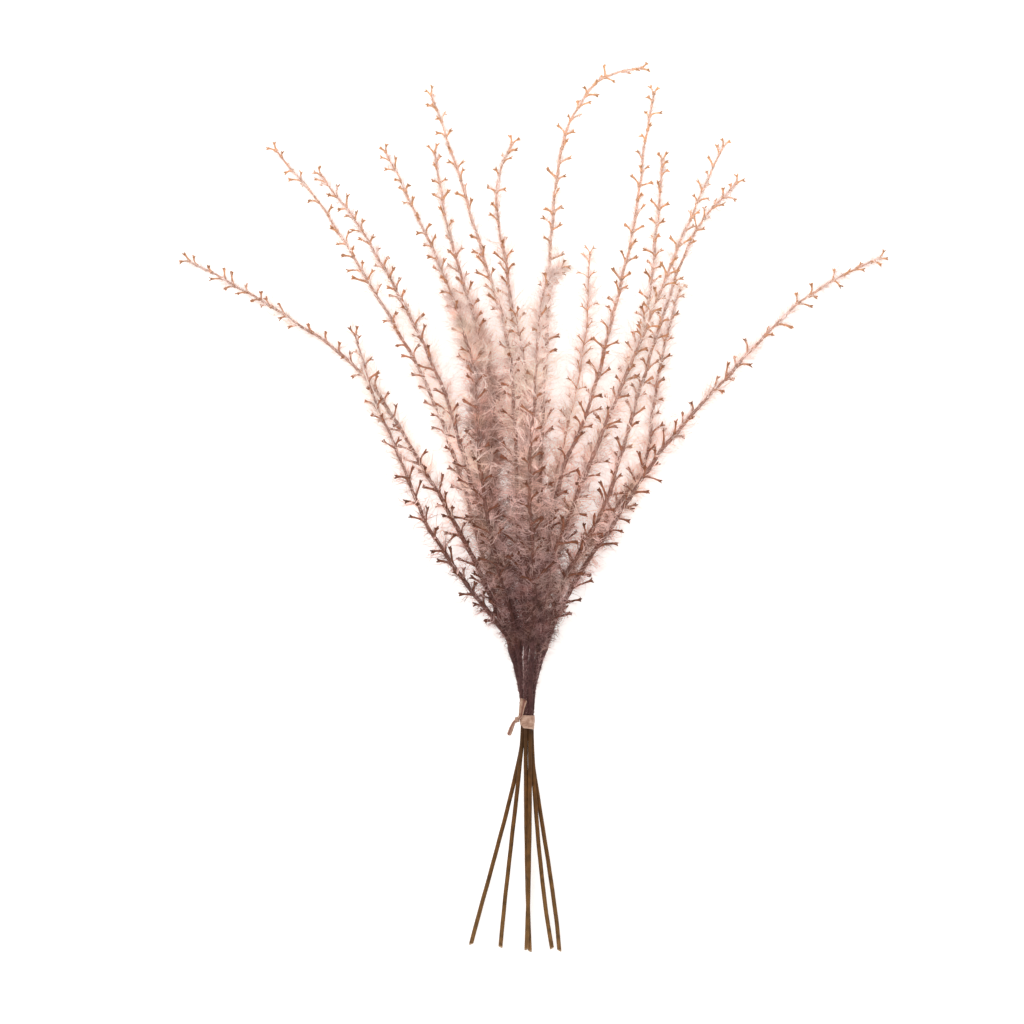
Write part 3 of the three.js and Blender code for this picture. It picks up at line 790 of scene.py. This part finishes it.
# For each branch: how thick the down is, how long, by how many millimetres its shades run
# ahead, and how much lighter it is. The outer branches run ahead and are paler, partly because
# the dye took less on their hairs; the branches in the middle of the bunch run least ahead and
# some low ones there are darker, a painted shade for the depth of the dense bunch.
DOWN = {
    "branch_1a": (0.35, 0.9, 45, 0), "branch_1b": (0.5, 0.95, 40, 0),
    "branch_1c": (0.45, 0.9, 45, 0.1), "branch_2a": (0.9, 1.05, 26, 0.1),
    "branch_2b": (1.0, 1.1, 8, 0.05), "branch_2c": (2.0, 1.2, 5, -0.2),
    "branch_3a": (1.1, 1.15, 0, 0.1), "branch_3b": (1.5, 1.2, 3, -0.1),
    "branch_3c": (0.7, 1.1, 10, 0), "branch_4a": (0.8, 1.1, 5, 0.05),
    "branch_4b": (1.0, 1.1, 0, 0.1), "branch_4c": (0.7, 1.0, 25, 0.0),
    "branch_5a": (0.5, 1.0, 30, 0.1), "branch_5b": (0.8, 0.95, 12, 0.0),
    "branch_5c": (0.65, 1.0, 28, 0.1), "branch_6a": (0.6, 0.95, 35, 0.1),
    "branch_6b": (0.8, 0.95, 50, 0.0), "branch_6c": (0.5, 0.9, 38, 0.1),
}


def from_table(table, y):
    """A value read between the rows of a table of (millimetres along Y, value)."""
    rows = np.array(table)
    return np.interp(y / MM, rows[:, 0], rows[:, 1])


def scattered(path, table, factor, chance, thicker=1):
    """Random distances along a path, sorted by chance, as close together as the table says.

    They are found by running the summed density backwards: a density that is the table's
    value * factor, thins out at the tip, and swells and shrinks in a slow sine wave.
    """
    place = np.linspace(0, distances(path)[-1], 800)
    y = points_at(path, place)[:, 1]
    fading = [(TIP_STARTS, thicker), (TIP_SETTLES, min(thicker, TIP_THICKER))]
    weight = from_table(table, y) * factor * from_table(fading, y)
    wave = np.sin(place * 2 * math.pi / THICK_STRETCH + chance.uniform(0, 2 * math.pi))
    weight = weight * (1 + THICK_SWING * wave)
    total = int(weight.mean() * place[-1] / MM)
    return np.interp(chance.uniform(0, 1, total), np.cumsum(weight) / weight.sum(), place)


def direction_at(path, place):
    """The path's direction at the given distances along it."""
    return unit(points_at(path, place + 1 * MM) - points_at(path, place - 1 * MM))


def tufted(count, tuft, spread, chance):
    """Random vectors that are nearly the same for all the hairs of a tuft."""
    shared = np.repeat(chance.normal(size=(-(-count // tuft), 3)), tuft, axis=0)[:count]
    return shared + spread * chance.normal(size=(count, 3))


def hair_roots(path, twigs, table, thicker, tuft, chance):
    """Where tufts of hairs grow on the stalk and the twigs, and the stalk's direction there.

    A tuft's hairs stand within a little of one place along the stalk. A share of the tufts
    near a twig is moved onto it, to root + t * (end - root).
    """
    centre = np.repeat(scattered(path, table, 1 / tuft, chance, thicker), tuft)
    chosen = np.clip(centre + chance.normal(0, TUFT_RADIUS, len(centre)), 0, distances(path)[-1])
    root = points_at(path, chosen)
    nearest = np.argmin(np.linalg.norm(root[:, None] - twigs[None, :, 0], axis=2), axis=1)
    on_twig = np.repeat(chance.uniform(size=len(root) // tuft) < ON_TWIG_SHARE, tuft) & (
        np.linalg.norm(root - twigs[nearest, 0], axis=1) < 0.6 * PAIR_SPACING)
    t = np.repeat(chance.uniform(0, 0.75, len(root) // tuft), tuft)[:, None]
    t = t + chance.uniform(0, 0.1, (len(root), 1))
    spot = twigs[nearest, 0] + t * (twigs[nearest, -1] - twigs[nearest, 0])
    return np.where(on_twig[:, None], spot, root), direction_at(path, chosen)


def hair_shape(root, heading, lengths, longer, rings, tuft, spread, curl, width, chance, droop=1):
    """Hairs as thin pointed rods of three sides, alike within a tuft.

    A hair runs from its root by t * length * direction, bends by BEND * t^2 * length to one
    side, and sways across that by curl * length * sin(CURL_TURN * t + start). Its direction is
    outward + forward * the stalk's, pressed flat where the bunch is, and a share of the hairs
    hangs down.
    """
    count = len(root)
    loose = unit(tufted(count, tuft, spread, chance))
    radial = unit(loose - (loose * heading).sum(axis=1, keepdims=True) * heading)
    forward = from_table(FORWARD_ALONG, root[:, 1])[:, None]
    forward = forward + 0.8 * tufted(count, tuft, spread, chance)[:, :1]
    flat = np.array([1, 1, 0]) + np.array([0, 0, 1]) * from_table(RISE_ALONG, root[:, 1])[:, None]
    direction = unit((radial + forward * heading + 0.3 * loose) * flat)
    low = droop * from_table(HANGING_ALONG, root[:, 1])
    hanging = np.repeat(chance.uniform(size=-(-count // tuft)), tuft)[:count] < low
    direction[:, 2] = np.where(hanging, -np.abs(direction[:, 2]), direction[:, 2])
    reach = from_table(lengths, root[:, 1])[:, None] * longer * MM
    reach = reach * chance.uniform(0.35, 1.25, (count, 1))
    bend = unit(tufted(count, tuft, spread, chance)) * flat
    swing = unit(np.cross(direction, tufted(count, tuft, spread, chance)))
    t = np.linspace(0, 1, rings)[None, :, None]
    start = 3 * tufted(count, tuft, spread / 3, chance)[:, :1, None]
    sway = curl * (np.sin(t * CURL_TURN + start) - np.sin(start))
    path = (root[:, None] + (direction * reach)[:, None] * t * (1 - 0.15 * t)
            + (bend * reach)[:, None] * BEND * t**2 + (swing * reach)[:, None] * sway)
    path[..., 2] = np.maximum(path[..., 2], FLOOR_GAP)
    taper = np.sqrt(1 - np.linspace(0, 1, rings) ** 2)
    thickness = width / 2 * chance.uniform(0.5, 1.4, (count, 1)) * taper
    return rods(path, thickness, swing, 3, pointed=True)


def coat_shape(path, factor, skin, chance):
    """Short hairs that stand out from the stalk: pointed rods that start at the skin's radius.

    A hair is skin * outward to start with, and from there length * (outward + forward * along).
    """
    chosen = scattered(path, COAT_ALONG, factor, chance)
    count = len(chosen)
    root = points_at(path, chosen)
    heading = direction_at(path, chosen)
    loose = unit(chance.normal(size=(count, 3)))
    radial = unit(loose - (loose * heading).sum(axis=1, keepdims=True) * heading)
    direction = unit(radial + chance.uniform(0.2, 3.2, (count, 1)) * heading)
    reach = from_table(COAT_LENGTHS, root[:, 1])[:, None] * MM
    reach = reach * chance.uniform(0.5, 1.3, (count, 1))
    start = root + radial * skin
    hairs = np.stack([start, start + direction * (reach + COAT_ROOT)], axis=1)
    hairs[..., 2] = np.maximum(hairs[..., 2], FLOOR_GAP)
    thickness = COAT_WIDTH / 2 * chance.uniform(0.6, 1.3, (count, 1)) * np.array([[1.0, 0.0]])
    return rods(hairs, thickness, loose, 3, pointed=True)


def tones(shape, count, tuft, low, high, chance):
    """A tone for every corner: one by chance for each tuft, plus a little for each hair."""
    shared = np.repeat(chance.uniform(low, high, -(-count // tuft)), tuft)[:count]
    return np.repeat(shared + chance.uniform(-0.12, 0.12, count), len(shape[0]) // count)


def down_material():
    """Silky dyed down: soft and dull, coloured along the bunch as the dye ran out.

    The paler number moves a hair's place along the colours, and its tone makes it lighter.
    """
    material, tree, place, share = new_material("dyed_silky_down")
    paler = add_node(tree, "ShaderNodeAttribute", {"attribute_name": "paler"}).outputs["Fac"]
    shade = add_node(tree, "ShaderNodeMath", {"operation": "ADD"}, i0=share, i1=paler)
    # the stop at -90 mm, darker than those on either side, is painted shade for the dense bottom of
    # the bunch round the forks
    colour = add_node(tree, "ShaderNodeValToRGB", {"stops": shades_along([
        (-140, "#5c3c39"), (-115, "#67453f"), (-90, "#613e38"), (-65, "#7e5852"),
        (-35, "#a0786f"), (-10, "#b78f85"), (15, "#cfa598"), (40, "#e2bdaf"),
        (70, "#f3d3c5"), (110, "#fae3d8"), (290, "#fbe9e1"),
    ])}, Fac=shade.outputs["Value"])
    # a low tone is a dark and strongly coloured hair, a high tone a pale silvery one, and
    # clumps of some 8 mm are darker or lighter than others, which near the forks also paints the
    # shade in the holes of the dense bunch
    tone = add_node(tree, "ShaderNodeAttribute", {"attribute_name": "tone"}).outputs["Fac"]
    clump = add_node(tree, "ShaderNodeTexNoise", Vector=place, Scale=0.12 / MM, Detail=4)
    patchy = add_node(tree, "ShaderNodeMapRange", Value=clump.outputs["Fac"],
                      From_Min=0.34, From_Max=0.66, To_Min=-0.5, To_Max=0.5)
    lighter = add_node(tree, "ShaderNodeMath", {"operation": "ADD"},
                       i0=tone, i1=patchy.outputs["Result"])
    # near the forks the darkest end falls to 0.4: painted shade for the dark holes deep in the
    # dense bunch
    darkest = add_node(tree, "ShaderNodeMapRange", Value=shade.outputs["Value"],
                       From_Min=0.45, From_Max=0.7, To_Min=0.4, To_Max=0.86)
    lightest = add_node(tree, "ShaderNodeMapRange", Value=shade.outputs["Value"],
                        From_Min=0.45, From_Max=0.7, To_Min=1.75, To_Max=1.14)
    light = add_node(tree, "ShaderNodeMapRange", Value=lighter.outputs["Value"],
                     To_Min=darkest.outputs["Result"], To_Max=lightest.outputs["Result"])
    colourful = add_node(tree, "ShaderNodeMapRange", Value=tone, To_Min=1.2, To_Max=0.75)
    # here and there, over some 20 mm, the natural straw colour comes through the dye
    faded = add_node(tree, "ShaderNodeTexNoise", Vector=place, Scale=0.05 / MM, Detail=2)
    straw = add_node(tree, "ShaderNodeMapRange", Value=faded.outputs["Fac"],
                     From_Min=0.45, From_Max=0.68, To_Min=0.495, To_Max=0.514)
    tinted = add_node(tree, "ShaderNodeHueSaturation", Hue=straw.outputs["Result"],
                      Saturation=colourful.outputs["Result"], Value=light.outputs["Result"],
                      Color=colour.outputs["Color"])
    # a little painted glow of the hairs' own colour stands in for the light that comes through the
    # thin hairs
    finish_material(tree, add_node(
        tree, "ShaderNodeBsdfPrincipled", Base_Color=tinted.outputs["Color"], Roughness=0.8,
        Specular_IOR_Level=0.08, Emission_Color=tinted.outputs["Color"], Emission_Strength=0.15))
    return material


down_finish = down_material()


def make_down(name, hairs):
    """One piece from rows of (shape, tone of each corner, how far its shades run ahead)."""
    shapes = [shape for shape, _, _ in hairs]
    aheads = np.repeat([ahead for _, _, ahead in hairs], [len(corners) for corners, _ in shapes])
    make_piece(name, joined(shapes), down_finish, "branch",
               tone=np.concatenate([tone for _, tone, _ in hairs]),
               paler=aheads * MM / (HIGH_Y - LOW_Y))


for number, (node, path, twigs) in enumerate(branches):
    chance = np.random.default_rng(500 + number)
    thicker, longer, ahead, lighter = DOWN[node]
    hairs = []
    for table, lengths, rings, tuft, spread, curl, width, low, high in HAIR_KINDS:
        root, heading = hair_roots(path, twigs, table, thicker, tuft, chance)
        shape = hair_shape(
            root, heading, lengths, longer, rings, tuft, spread, curl, width, chance)
        tone = tones(shape, len(root), tuft, low, high, chance) + lighter
        hairs.append((shape, tone, ahead))
    for _, table, share, low, plume_ahead in [plume for plume in PLUMES if plume[0] == node]:
        place = np.repeat(scattered(path, table, 1 / FILL_TUFT, chance), FILL_TUFT)
        shape = hair_shape(
            points_at(path, place), direction_at(path, place), FILL_LENGTHS, share, FILL_RINGS,
            FILL_TUFT, 0.6, 0.0, FILL_WIDTH, chance, PLUME_DROOP)
        tone = tones(shape, len(place), FILL_TUFT, low, low + 0.45, chance) + lighter
        hairs.append((shape, tone, plume_ahead))
    shape = coat_shape(path, THIN_SHARE if node == THIN_BRANCH else 1.0, STALK_SKIN, chance)
    count = len(shape[0]) // COAT_HAIR_CORNERS
    hairs.append((shape, tones(shape, count, 1, 0.35, 1.15, chance) + lighter, ahead))
    make_down(f"down_{node}", hairs)

# The dyed end of each stem has a close coat too, and longer hairs that close the slits between
# the stems. They start just above the tie.
FIRST_STEM_HAIR = -139 * MM
SLIT_ALONG = [(-140, 0), (-130, 2), (-118, 7), (-100, 16), (-85, 22)]
SLIT_LENGTHS = [(-140, 2), (-125, 4), (-105, 6), (-85, 8)]
STEM_SKIN = 1.55 * MM
STEM_COAT_THICKER = 0.9
# for each stem: how much lighter the coat is, and by how many millimetres the shades of the
# coat and of the longer hairs run ahead. The lighter coats of stems 3, 5 and 6 are pale fuzz,
# and partly a painted highlight of their lit front faces.
STEM_DOWN = [(0, 0, 5), (0.3, 10, 5), (1.5, 65, 5), (0.4, 10, 5), (1.4, 60, 45), (1.2, 50, 110)]
for number, (path, (lighter, coat_ahead, slit_ahead)) in enumerate(zip(stem_paths, STEM_DOWN), 1):
    chance = np.random.default_rng(700 + number)
    path = path[path[:, 1] > FIRST_STEM_HAIR]
    coat = coat_shape(path, STEM_COAT_THICKER, STEM_SKIN, chance)
    place = np.repeat(scattered(path, SLIT_ALONG, 1 / FILL_TUFT, chance), FILL_TUFT)
    slit = hair_shape(
        points_at(path, place), direction_at(path, place), SLIT_LENGTHS, 1.0, FILL_RINGS,
        FILL_TUFT, 0.5, 0.0, FILL_WIDTH, chance)
    coat_tone = tones(coat, len(coat[0]) // COAT_HAIR_CORNERS, 1, -0.6, 1.3, chance) + lighter
    slit_tone = tones(slit, len(place), FILL_TUFT, 0.3, 1.3, chance)
    make_down(f"down_stem_{number}", [(coat, coat_tone, coat_ahead), (slit, slit_tone, slit_ahead)])

# ------------------------------------------------------------------ the raffia tie
# A strip of raffia wound three times round the stems, drawn together on the left and knotted.
# Its two ends stick out: the upper one folded lengthwise and cut on a slant, the lower one
# rolled thin. Raffia is a peeled palm leaf: satin, with fine lengthwise fibres.

WRAP_COUNT = 3
WRAP_STEPS = 96
WRAP_ROUND = 16
WRAP_THICKNESS = 0.2 * MM
WRAP_INNER_RADIUS = 4.42 * MM
WRAP_STEP_OUT = 0.21 * MM          # each turn lies on the one before
WRAP_STEP_ALONG = 2.3 * MM
WRAP_RISE = 0.55 * MM              # of the lowest turn toward the knot
WRAP_HALF_WIDTH = 1.7              # millimetres, at the knot
WRAP_WIDENS = 1.05                 # millimetres more on the far side
WRAP_SWAY = 0.3 * MM
FAN_ANGLE = 0.8                    # radians away from the knot over which the turns fan out
GATHERED_PLACE = 1.2               # millimetres above the tie's middle, at the knot
FANNED_PLACE = 0.35 * MM           # below the tie's middle, on the far side
CREASE_DEPTH = 0.09 * MM
OVER_STEM = 0.17 * MM              # how much the turns bulge over each of the six stems
FIRST_BULGE = math.radians(50)     # where one of them lies
KNOT_PLACE = (-12.2, -143, 23.5)
KNOT_RADIUS = 1.75 * MM
KNOT_ANGLE = math.radians(172)
GROOVE_DEPTH = 0.13                # this and the next as a share of the knot's radius
KNOT_LUMPS = 0.07
KNOT_RINGS = 22
KNOT_ROUND = 26
TAIL_RINGS = 36
TAIL_ROUND = 20
FOLD_PLACE = 0.3                   # across a tail, from -1 at its left edge to 1 at its right
FOLD_WIDTH = 0.33                  # how wide the painted shade in the fold is, on the same scale


def ring_surface(points):
    """A closed surface from a grid of corners (along, round, xyz) that joins up both ways."""
    rows, columns = points.shape[:2]
    here = np.arange(rows * columns).reshape(rows, columns)
    ahead, beside = np.roll(here, -1, axis=0), np.roll(here, -1, axis=1)
    both = np.roll(ahead, -1, axis=1)
    return points.reshape(-1, 3), squares(here, beside, both, ahead)


def wrap_shape(layer):
    """One turn of the strip round the stems.

    Each ring is a flat oval: y = centre + half width * cos(round), outward = radius +
    thickness * sin(round) + creases. The strip narrows and its centre closes in toward
    the knot, so that the turns fan out on the far side, and the lowest turn rises toward it.
    The radius follows the six stems.
    """
    turn = np.arange(WRAP_STEPS)[:, None] * (2 * math.pi / WRAP_STEPS)
    edge = np.arange(WRAP_ROUND)[None, :] * (2 * math.pi / WRAP_ROUND)
    away = np.abs((turn - KNOT_ANGLE + math.pi) % (2 * math.pi) - math.pi)
    fan = np.clip(away / FAN_ANGLE, 0, 1) ** 0.6
    place = (layer - 1) * WRAP_STEP_ALONG
    centre = TIE_PLACE[1] + (1 - fan) * GATHERED_PLACE * MM + fan * (place - FANNED_PLACE)
    centre = centre + WRAP_SWAY * np.sin(turn + 2 * layer)
    if layer == 0:
        centre = centre + WRAP_RISE * (1 + np.cos(turn - KNOT_ANGLE))
    half = (WRAP_HALF_WIDTH + WRAP_WIDENS * fan) * MM
    across = np.cos(edge)
    creases = CREASE_DEPTH * np.sin(9 * across + 3 * layer + 1.5 * np.sin(2 * turn))
    creases = creases * (0.4 + 0.6 * np.abs(np.sin(edge)))
    over_stems = OVER_STEM * np.cos(len(STEMS) * (turn - FIRST_BULGE))
    radius = WRAP_INNER_RADIUS + layer * WRAP_STEP_OUT + over_stems
    outward = radius + WRAP_THICKNESS * np.sin(edge) + creases
    middle = TIE_PLACE + SHIFT
    points = np.stack([
        middle[0] + outward * np.cos(turn),
        centre + SHIFT[1] + half * across,
        middle[2] + outward * np.sin(turn)], axis=-1)
    corners, triangles = ring_surface(points)
    fibre = np.broadcast_to(half * across, points.shape[:2]).ravel()
    length = np.broadcast_to(radius * turn, points.shape[:2]).ravel()
    return (corners, triangles[:, ::-1]), fibre, length, np.zeros(len(corners))


def knot_shape():
    """A lump where the strip goes round itself: radius * (1 + slanting grooves + lumps)."""
    across = np.linspace(0.02, math.pi - 0.02, KNOT_RINGS)[:, None]
    turn = np.arange(KNOT_ROUND)[None, :] * (2 * math.pi / KNOT_ROUND)
    grooves = GROOVE_DEPTH * np.sin(6 * across + turn)
    radius = KNOT_RADIUS * (1 + grooves + KNOT_LUMPS * np.sin(2 * turn + 1))
    points = np.stack([
        radius * np.sin(across) * np.cos(turn) * 0.95,
        radius * np.cos(across) * 1.05,
        radius * np.sin(across) * np.sin(turn)], axis=-1) + placed(KNOT_PLACE)
    rows, columns = points.shape[:2]
    here = np.arange(rows * columns).reshape(rows, columns)
    beside = np.roll(here, -1, axis=1)
    poles = np.stack([points[0].mean(axis=0), points[-1].mean(axis=0)])
    walls = squares(here[:-1], here[1:], beside[1:], beside[:-1])
    top = np.stack([np.full(columns, rows * columns), here[0], beside[0]], axis=-1)
    bottom = np.stack([np.full(columns, rows * columns + 1), beside[-1], here[-1]], axis=-1)
    corners = np.concatenate([points.reshape(-1, 3), poles])
    triangles = np.concatenate([walls, top, bottom])
    fibre = np.append((radius * turn).ravel(), [0, 0])
    length = np.append((radius * across).ravel(), [0, 0])
    return (corners, triangles[:, ::-1]), fibre, length, np.zeros(len(corners))


def tail_shape(points, widths, fold, thickness, waves, slant):
    """A loose end of the strip: a flat oval carried along a curve, folded lengthwise.

    Each ring is: sideways = half width * cos(round), up = thickness * sin(round) +
    fold * |cos(round) - fold place| + ripples. Toward the cut the right edge is set back by
    up to the slant, in millimetres. The painted shade of the fold is 1 on it, less beside it.
    """
    path = evenly(through(np.array([placed(point) for point in points])), TAIL_RINGS)
    share = np.linspace(0, 1, TAIL_RINGS)
    rows = np.array(widths)
    half = np.interp(share, rows[:, 0], rows[:, 1])[:, None] * MM / 2
    edge = np.arange(TAIL_ROUND)[None, :] * (2 * math.pi / TAIL_ROUND)
    along = unit(np.gradient(path, axis=0))
    up = unit(np.cross(np.cross(along, [0, 0, 1.0]), along))
    side = np.cross(along, up)
    across = np.cos(edge)
    lift = (thickness * MM * np.sin(edge) + fold * half * np.abs(across - FOLD_PLACE)
            + waves * MM * np.sin(11 * across + 6 * share[:, None]))
    set_back = slant * MM * share[:, None] ** 3 * (1 + across) / 2
    points = (path[:, None] + (half * across)[..., None] * side[:, None]
              + lift[..., None] * up[:, None] - set_back[..., None] * along[:, None])
    last = (TAIL_RINGS - 1) * TAIL_ROUND
    here = np.arange(last).reshape(-1, TAIL_ROUND)
    beside = np.roll(here, -1, axis=1)
    fan = np.arange(1, TAIL_ROUND - 1)
    triangles = np.concatenate([
        squares(here, beside, beside + TAIL_ROUND, here + TAIL_ROUND),
        np.stack([0 * fan, fan + 1, fan], axis=-1),
        np.stack([last + 0 * fan, last + fan, last + fan + 1], axis=-1)])
    fibre = np.broadcast_to(half * across, points.shape[:2]).ravel()
    length = np.broadcast_to(distances(path)[:, None], points.shape[:2]).ravel()
    groove = np.exp(-((across - FOLD_PLACE) / FOLD_WIDTH) ** 2)
    groove = np.broadcast_to(groove, points.shape[:2]).ravel()
    return (points.reshape(-1, 3), triangles), fibre, length, groove


def raffia_material():
    """Raffia: a satin strip, its colour and its bumps drawn out in fine lengthwise fibres.

    Each corner carries its place across and along the strip, which the fibres follow, and how
    deep it lies in the fold, which gets a painted shade.
    """
    material, tree, place, share = new_material("raffia")
    fibre = add_node(tree, "ShaderNodeAttribute", {"attribute_name": "fibre"}).outputs["Fac"]
    length = add_node(tree, "ShaderNodeAttribute", {"attribute_name": "length"}).outputs["Fac"]
    drawn_out = add_node(tree, "ShaderNodeMath", {"operation": "MULTIPLY"}, i0=length, i1=0.06)
    spot = add_node(tree, "ShaderNodeCombineXYZ", X=fibre, Y=drawn_out.outputs["Value"])
    # fibres of 0.4 mm, coarser than real ones so that they show, and blotches of 3 mm
    fibres = add_node(tree, "ShaderNodeTexNoise", Vector=spot.outputs["Vector"],
                      Scale=2.6 / MM, Detail=3)
    blotch = add_node(tree, "ShaderNodeTexNoise", Vector=place, Scale=0.3 / MM, Detail=3)
    grain = add_node(tree, "ShaderNodeMath", {"operation": "ADD"},
                     i0=fibres.outputs["Fac"], i1=blotch.outputs["Fac"])
    mean = add_node(tree, "ShaderNodeMath", {"operation": "MULTIPLY"},
                    i0=grain.outputs["Value"], i1=0.5)
    colour = add_node(tree, "ShaderNodeValToRGB", {"stops": [
        (0.3, "#7e5743"), (0.45, "#9f7863"), (0.52, "#b28c77"), (0.62, "#c9a893"),
        (0.75, "#dcbfac"),
    ]}, Fac=mean.outputs["Value"])
    # the folds of the tails are darkened toward a deep brown: a painted shade in the fold
    groove = add_node(tree, "ShaderNodeAttribute", {"attribute_name": "groove"})
    folded = add_node(tree, "ShaderNodeMix", {"data_type": "RGBA"}, i0=groove.outputs["Fac"],
                      i6=colour.outputs["Color"], i7=linear("#6e3324"))
    rough = add_node(tree, "ShaderNodeMapRange", Value=fibres.outputs["Fac"],
                     To_Min=0.45, To_Max=0.75)
    bump = add_node(tree, "ShaderNodeBump", Height=fibres.outputs["Fac"],
                    Strength=0.7, Distance=0.12 * MM)
    finish_material(tree, add_node(
        tree, "ShaderNodeBsdfPrincipled", Base_Color=folded.outputs["Result"],
        Roughness=rough.outputs["Result"], Normal=bump.outputs["Normal"]))
    return material


def tail_height(y, base, slope):
    """The height of a tail over the place y, both in millimetres."""
    return base + slope * (y - KNOT_PLACE[1])


# each tail's route seen from above in millimetres, and rows of (share of its length, its width)
UPPER_TAIL = [(-11.3, -142.4), (-9.9, -140.5), (-9.1, -136.0), (-8.2, -131.5), (-7.5, -127.9)]
UPPER_WIDTHS = [(0, 1.9), (0.2, 2.8), (0.6, 3.9), (1, 4.8)]
LOWER_TAIL = [(-12.2, -142.8), (-14.2, -144.9), (-15.8, -148.3), (-16.9, -151.2), (-17.8, -153.6)]
LOWER_WIDTHS = [(0, 1.9), (0.3, 2.4), (0.6, 3.0), (0.93, 3.0), (0.98, 2.2), (1, 0.9)]
upper_route = [(x, y, tail_height(y, 24.9, 0.42)) for x, y in UPPER_TAIL]
lower_route = [(x, y, tail_height(y, 22.9, 0.3)) for x, y in LOWER_TAIL]
tie_shapes = [wrap_shape(layer) for layer in range(WRAP_COUNT)]
tie_shapes.append(knot_shape())
tie_shapes.append(tail_shape(
    upper_route, UPPER_WIDTHS, fold=0.55, thickness=0.16, waves=0.03, slant=1.7))
tie_shapes.append(tail_shape(
    lower_route, LOWER_WIDTHS, fold=0.2, thickness=0.55, waves=0.05, slant=0))
tie_shape = joined([shape for shape, _, _, _ in tie_shapes])
make_piece("raffia_wraps", tie_shape, raffia_material(), "raffia", "raffia_tie",
           fibre=np.concatenate([fibre for _, fibre, _, _ in tie_shapes]),
           length=np.concatenate([length for _, _, length, _ in tie_shapes]),
           groove=np.concatenate([groove for _, _, _, groove in tie_shapes]))

# ------------------------------------------------------------------ the surface and the light
# A plain warm white table that shines a little by itself, as a lit one in a studio does, with
# light from all round and a soft lamp above.

HALF_TABLE = 4.0
table_corners = [
    (x * HALF_TABLE, y * HALF_TABLE, 0) for x, y in ((-1, -1), (1, -1), (1, 1), (-1, 1))]
floor_mesh = bpy.data.meshes.new("table_top")
floor_mesh.from_pydata(table_corners, [], [(0, 1, 2, 3)])
floor = bpy.data.objects.new("table_top", floor_mesh)
bpy.context.scene.collection.objects.link(floor)
white = bpy.data.materials.new("white_table_top")
white.use_nodes = True
white_shader = white.node_tree.nodes["Principled BSDF"]
white_shader.inputs["Base Color"].default_value = linear("#dcdad8")
white_shader.inputs["Roughness"].default_value = 0.9
white_shader.inputs["Emission Color"].default_value = linear("#fff9f6")
white_shader.inputs["Emission Strength"].default_value = 0.6
floor_mesh.materials.append(white)

world = bpy.data.worlds.new("studio")
world.use_nodes = True
world.node_tree.nodes["Background"].inputs["Color"].default_value = (1, 1, 1, 1)
world.node_tree.nodes["Background"].inputs["Strength"].default_value = 0.85
bpy.context.scene.world = world

lamp_data = bpy.data.lights.new("soft_lamp", "AREA")
lamp_data.shape = "DISK"
lamp_data.size = 1.6
lamp_data.energy = 14
lamp = bpy.data.objects.new("soft_lamp", lamp_data)
lamp.location = (-0.5, 0.6, 1.9)
lamp.rotation_euler = (math.radians(-17), math.radians(-15), 0)
bpy.context.scene.collection.objects.link(lamp)

bpy.context.scene.view_settings.view_transform = "Standard"
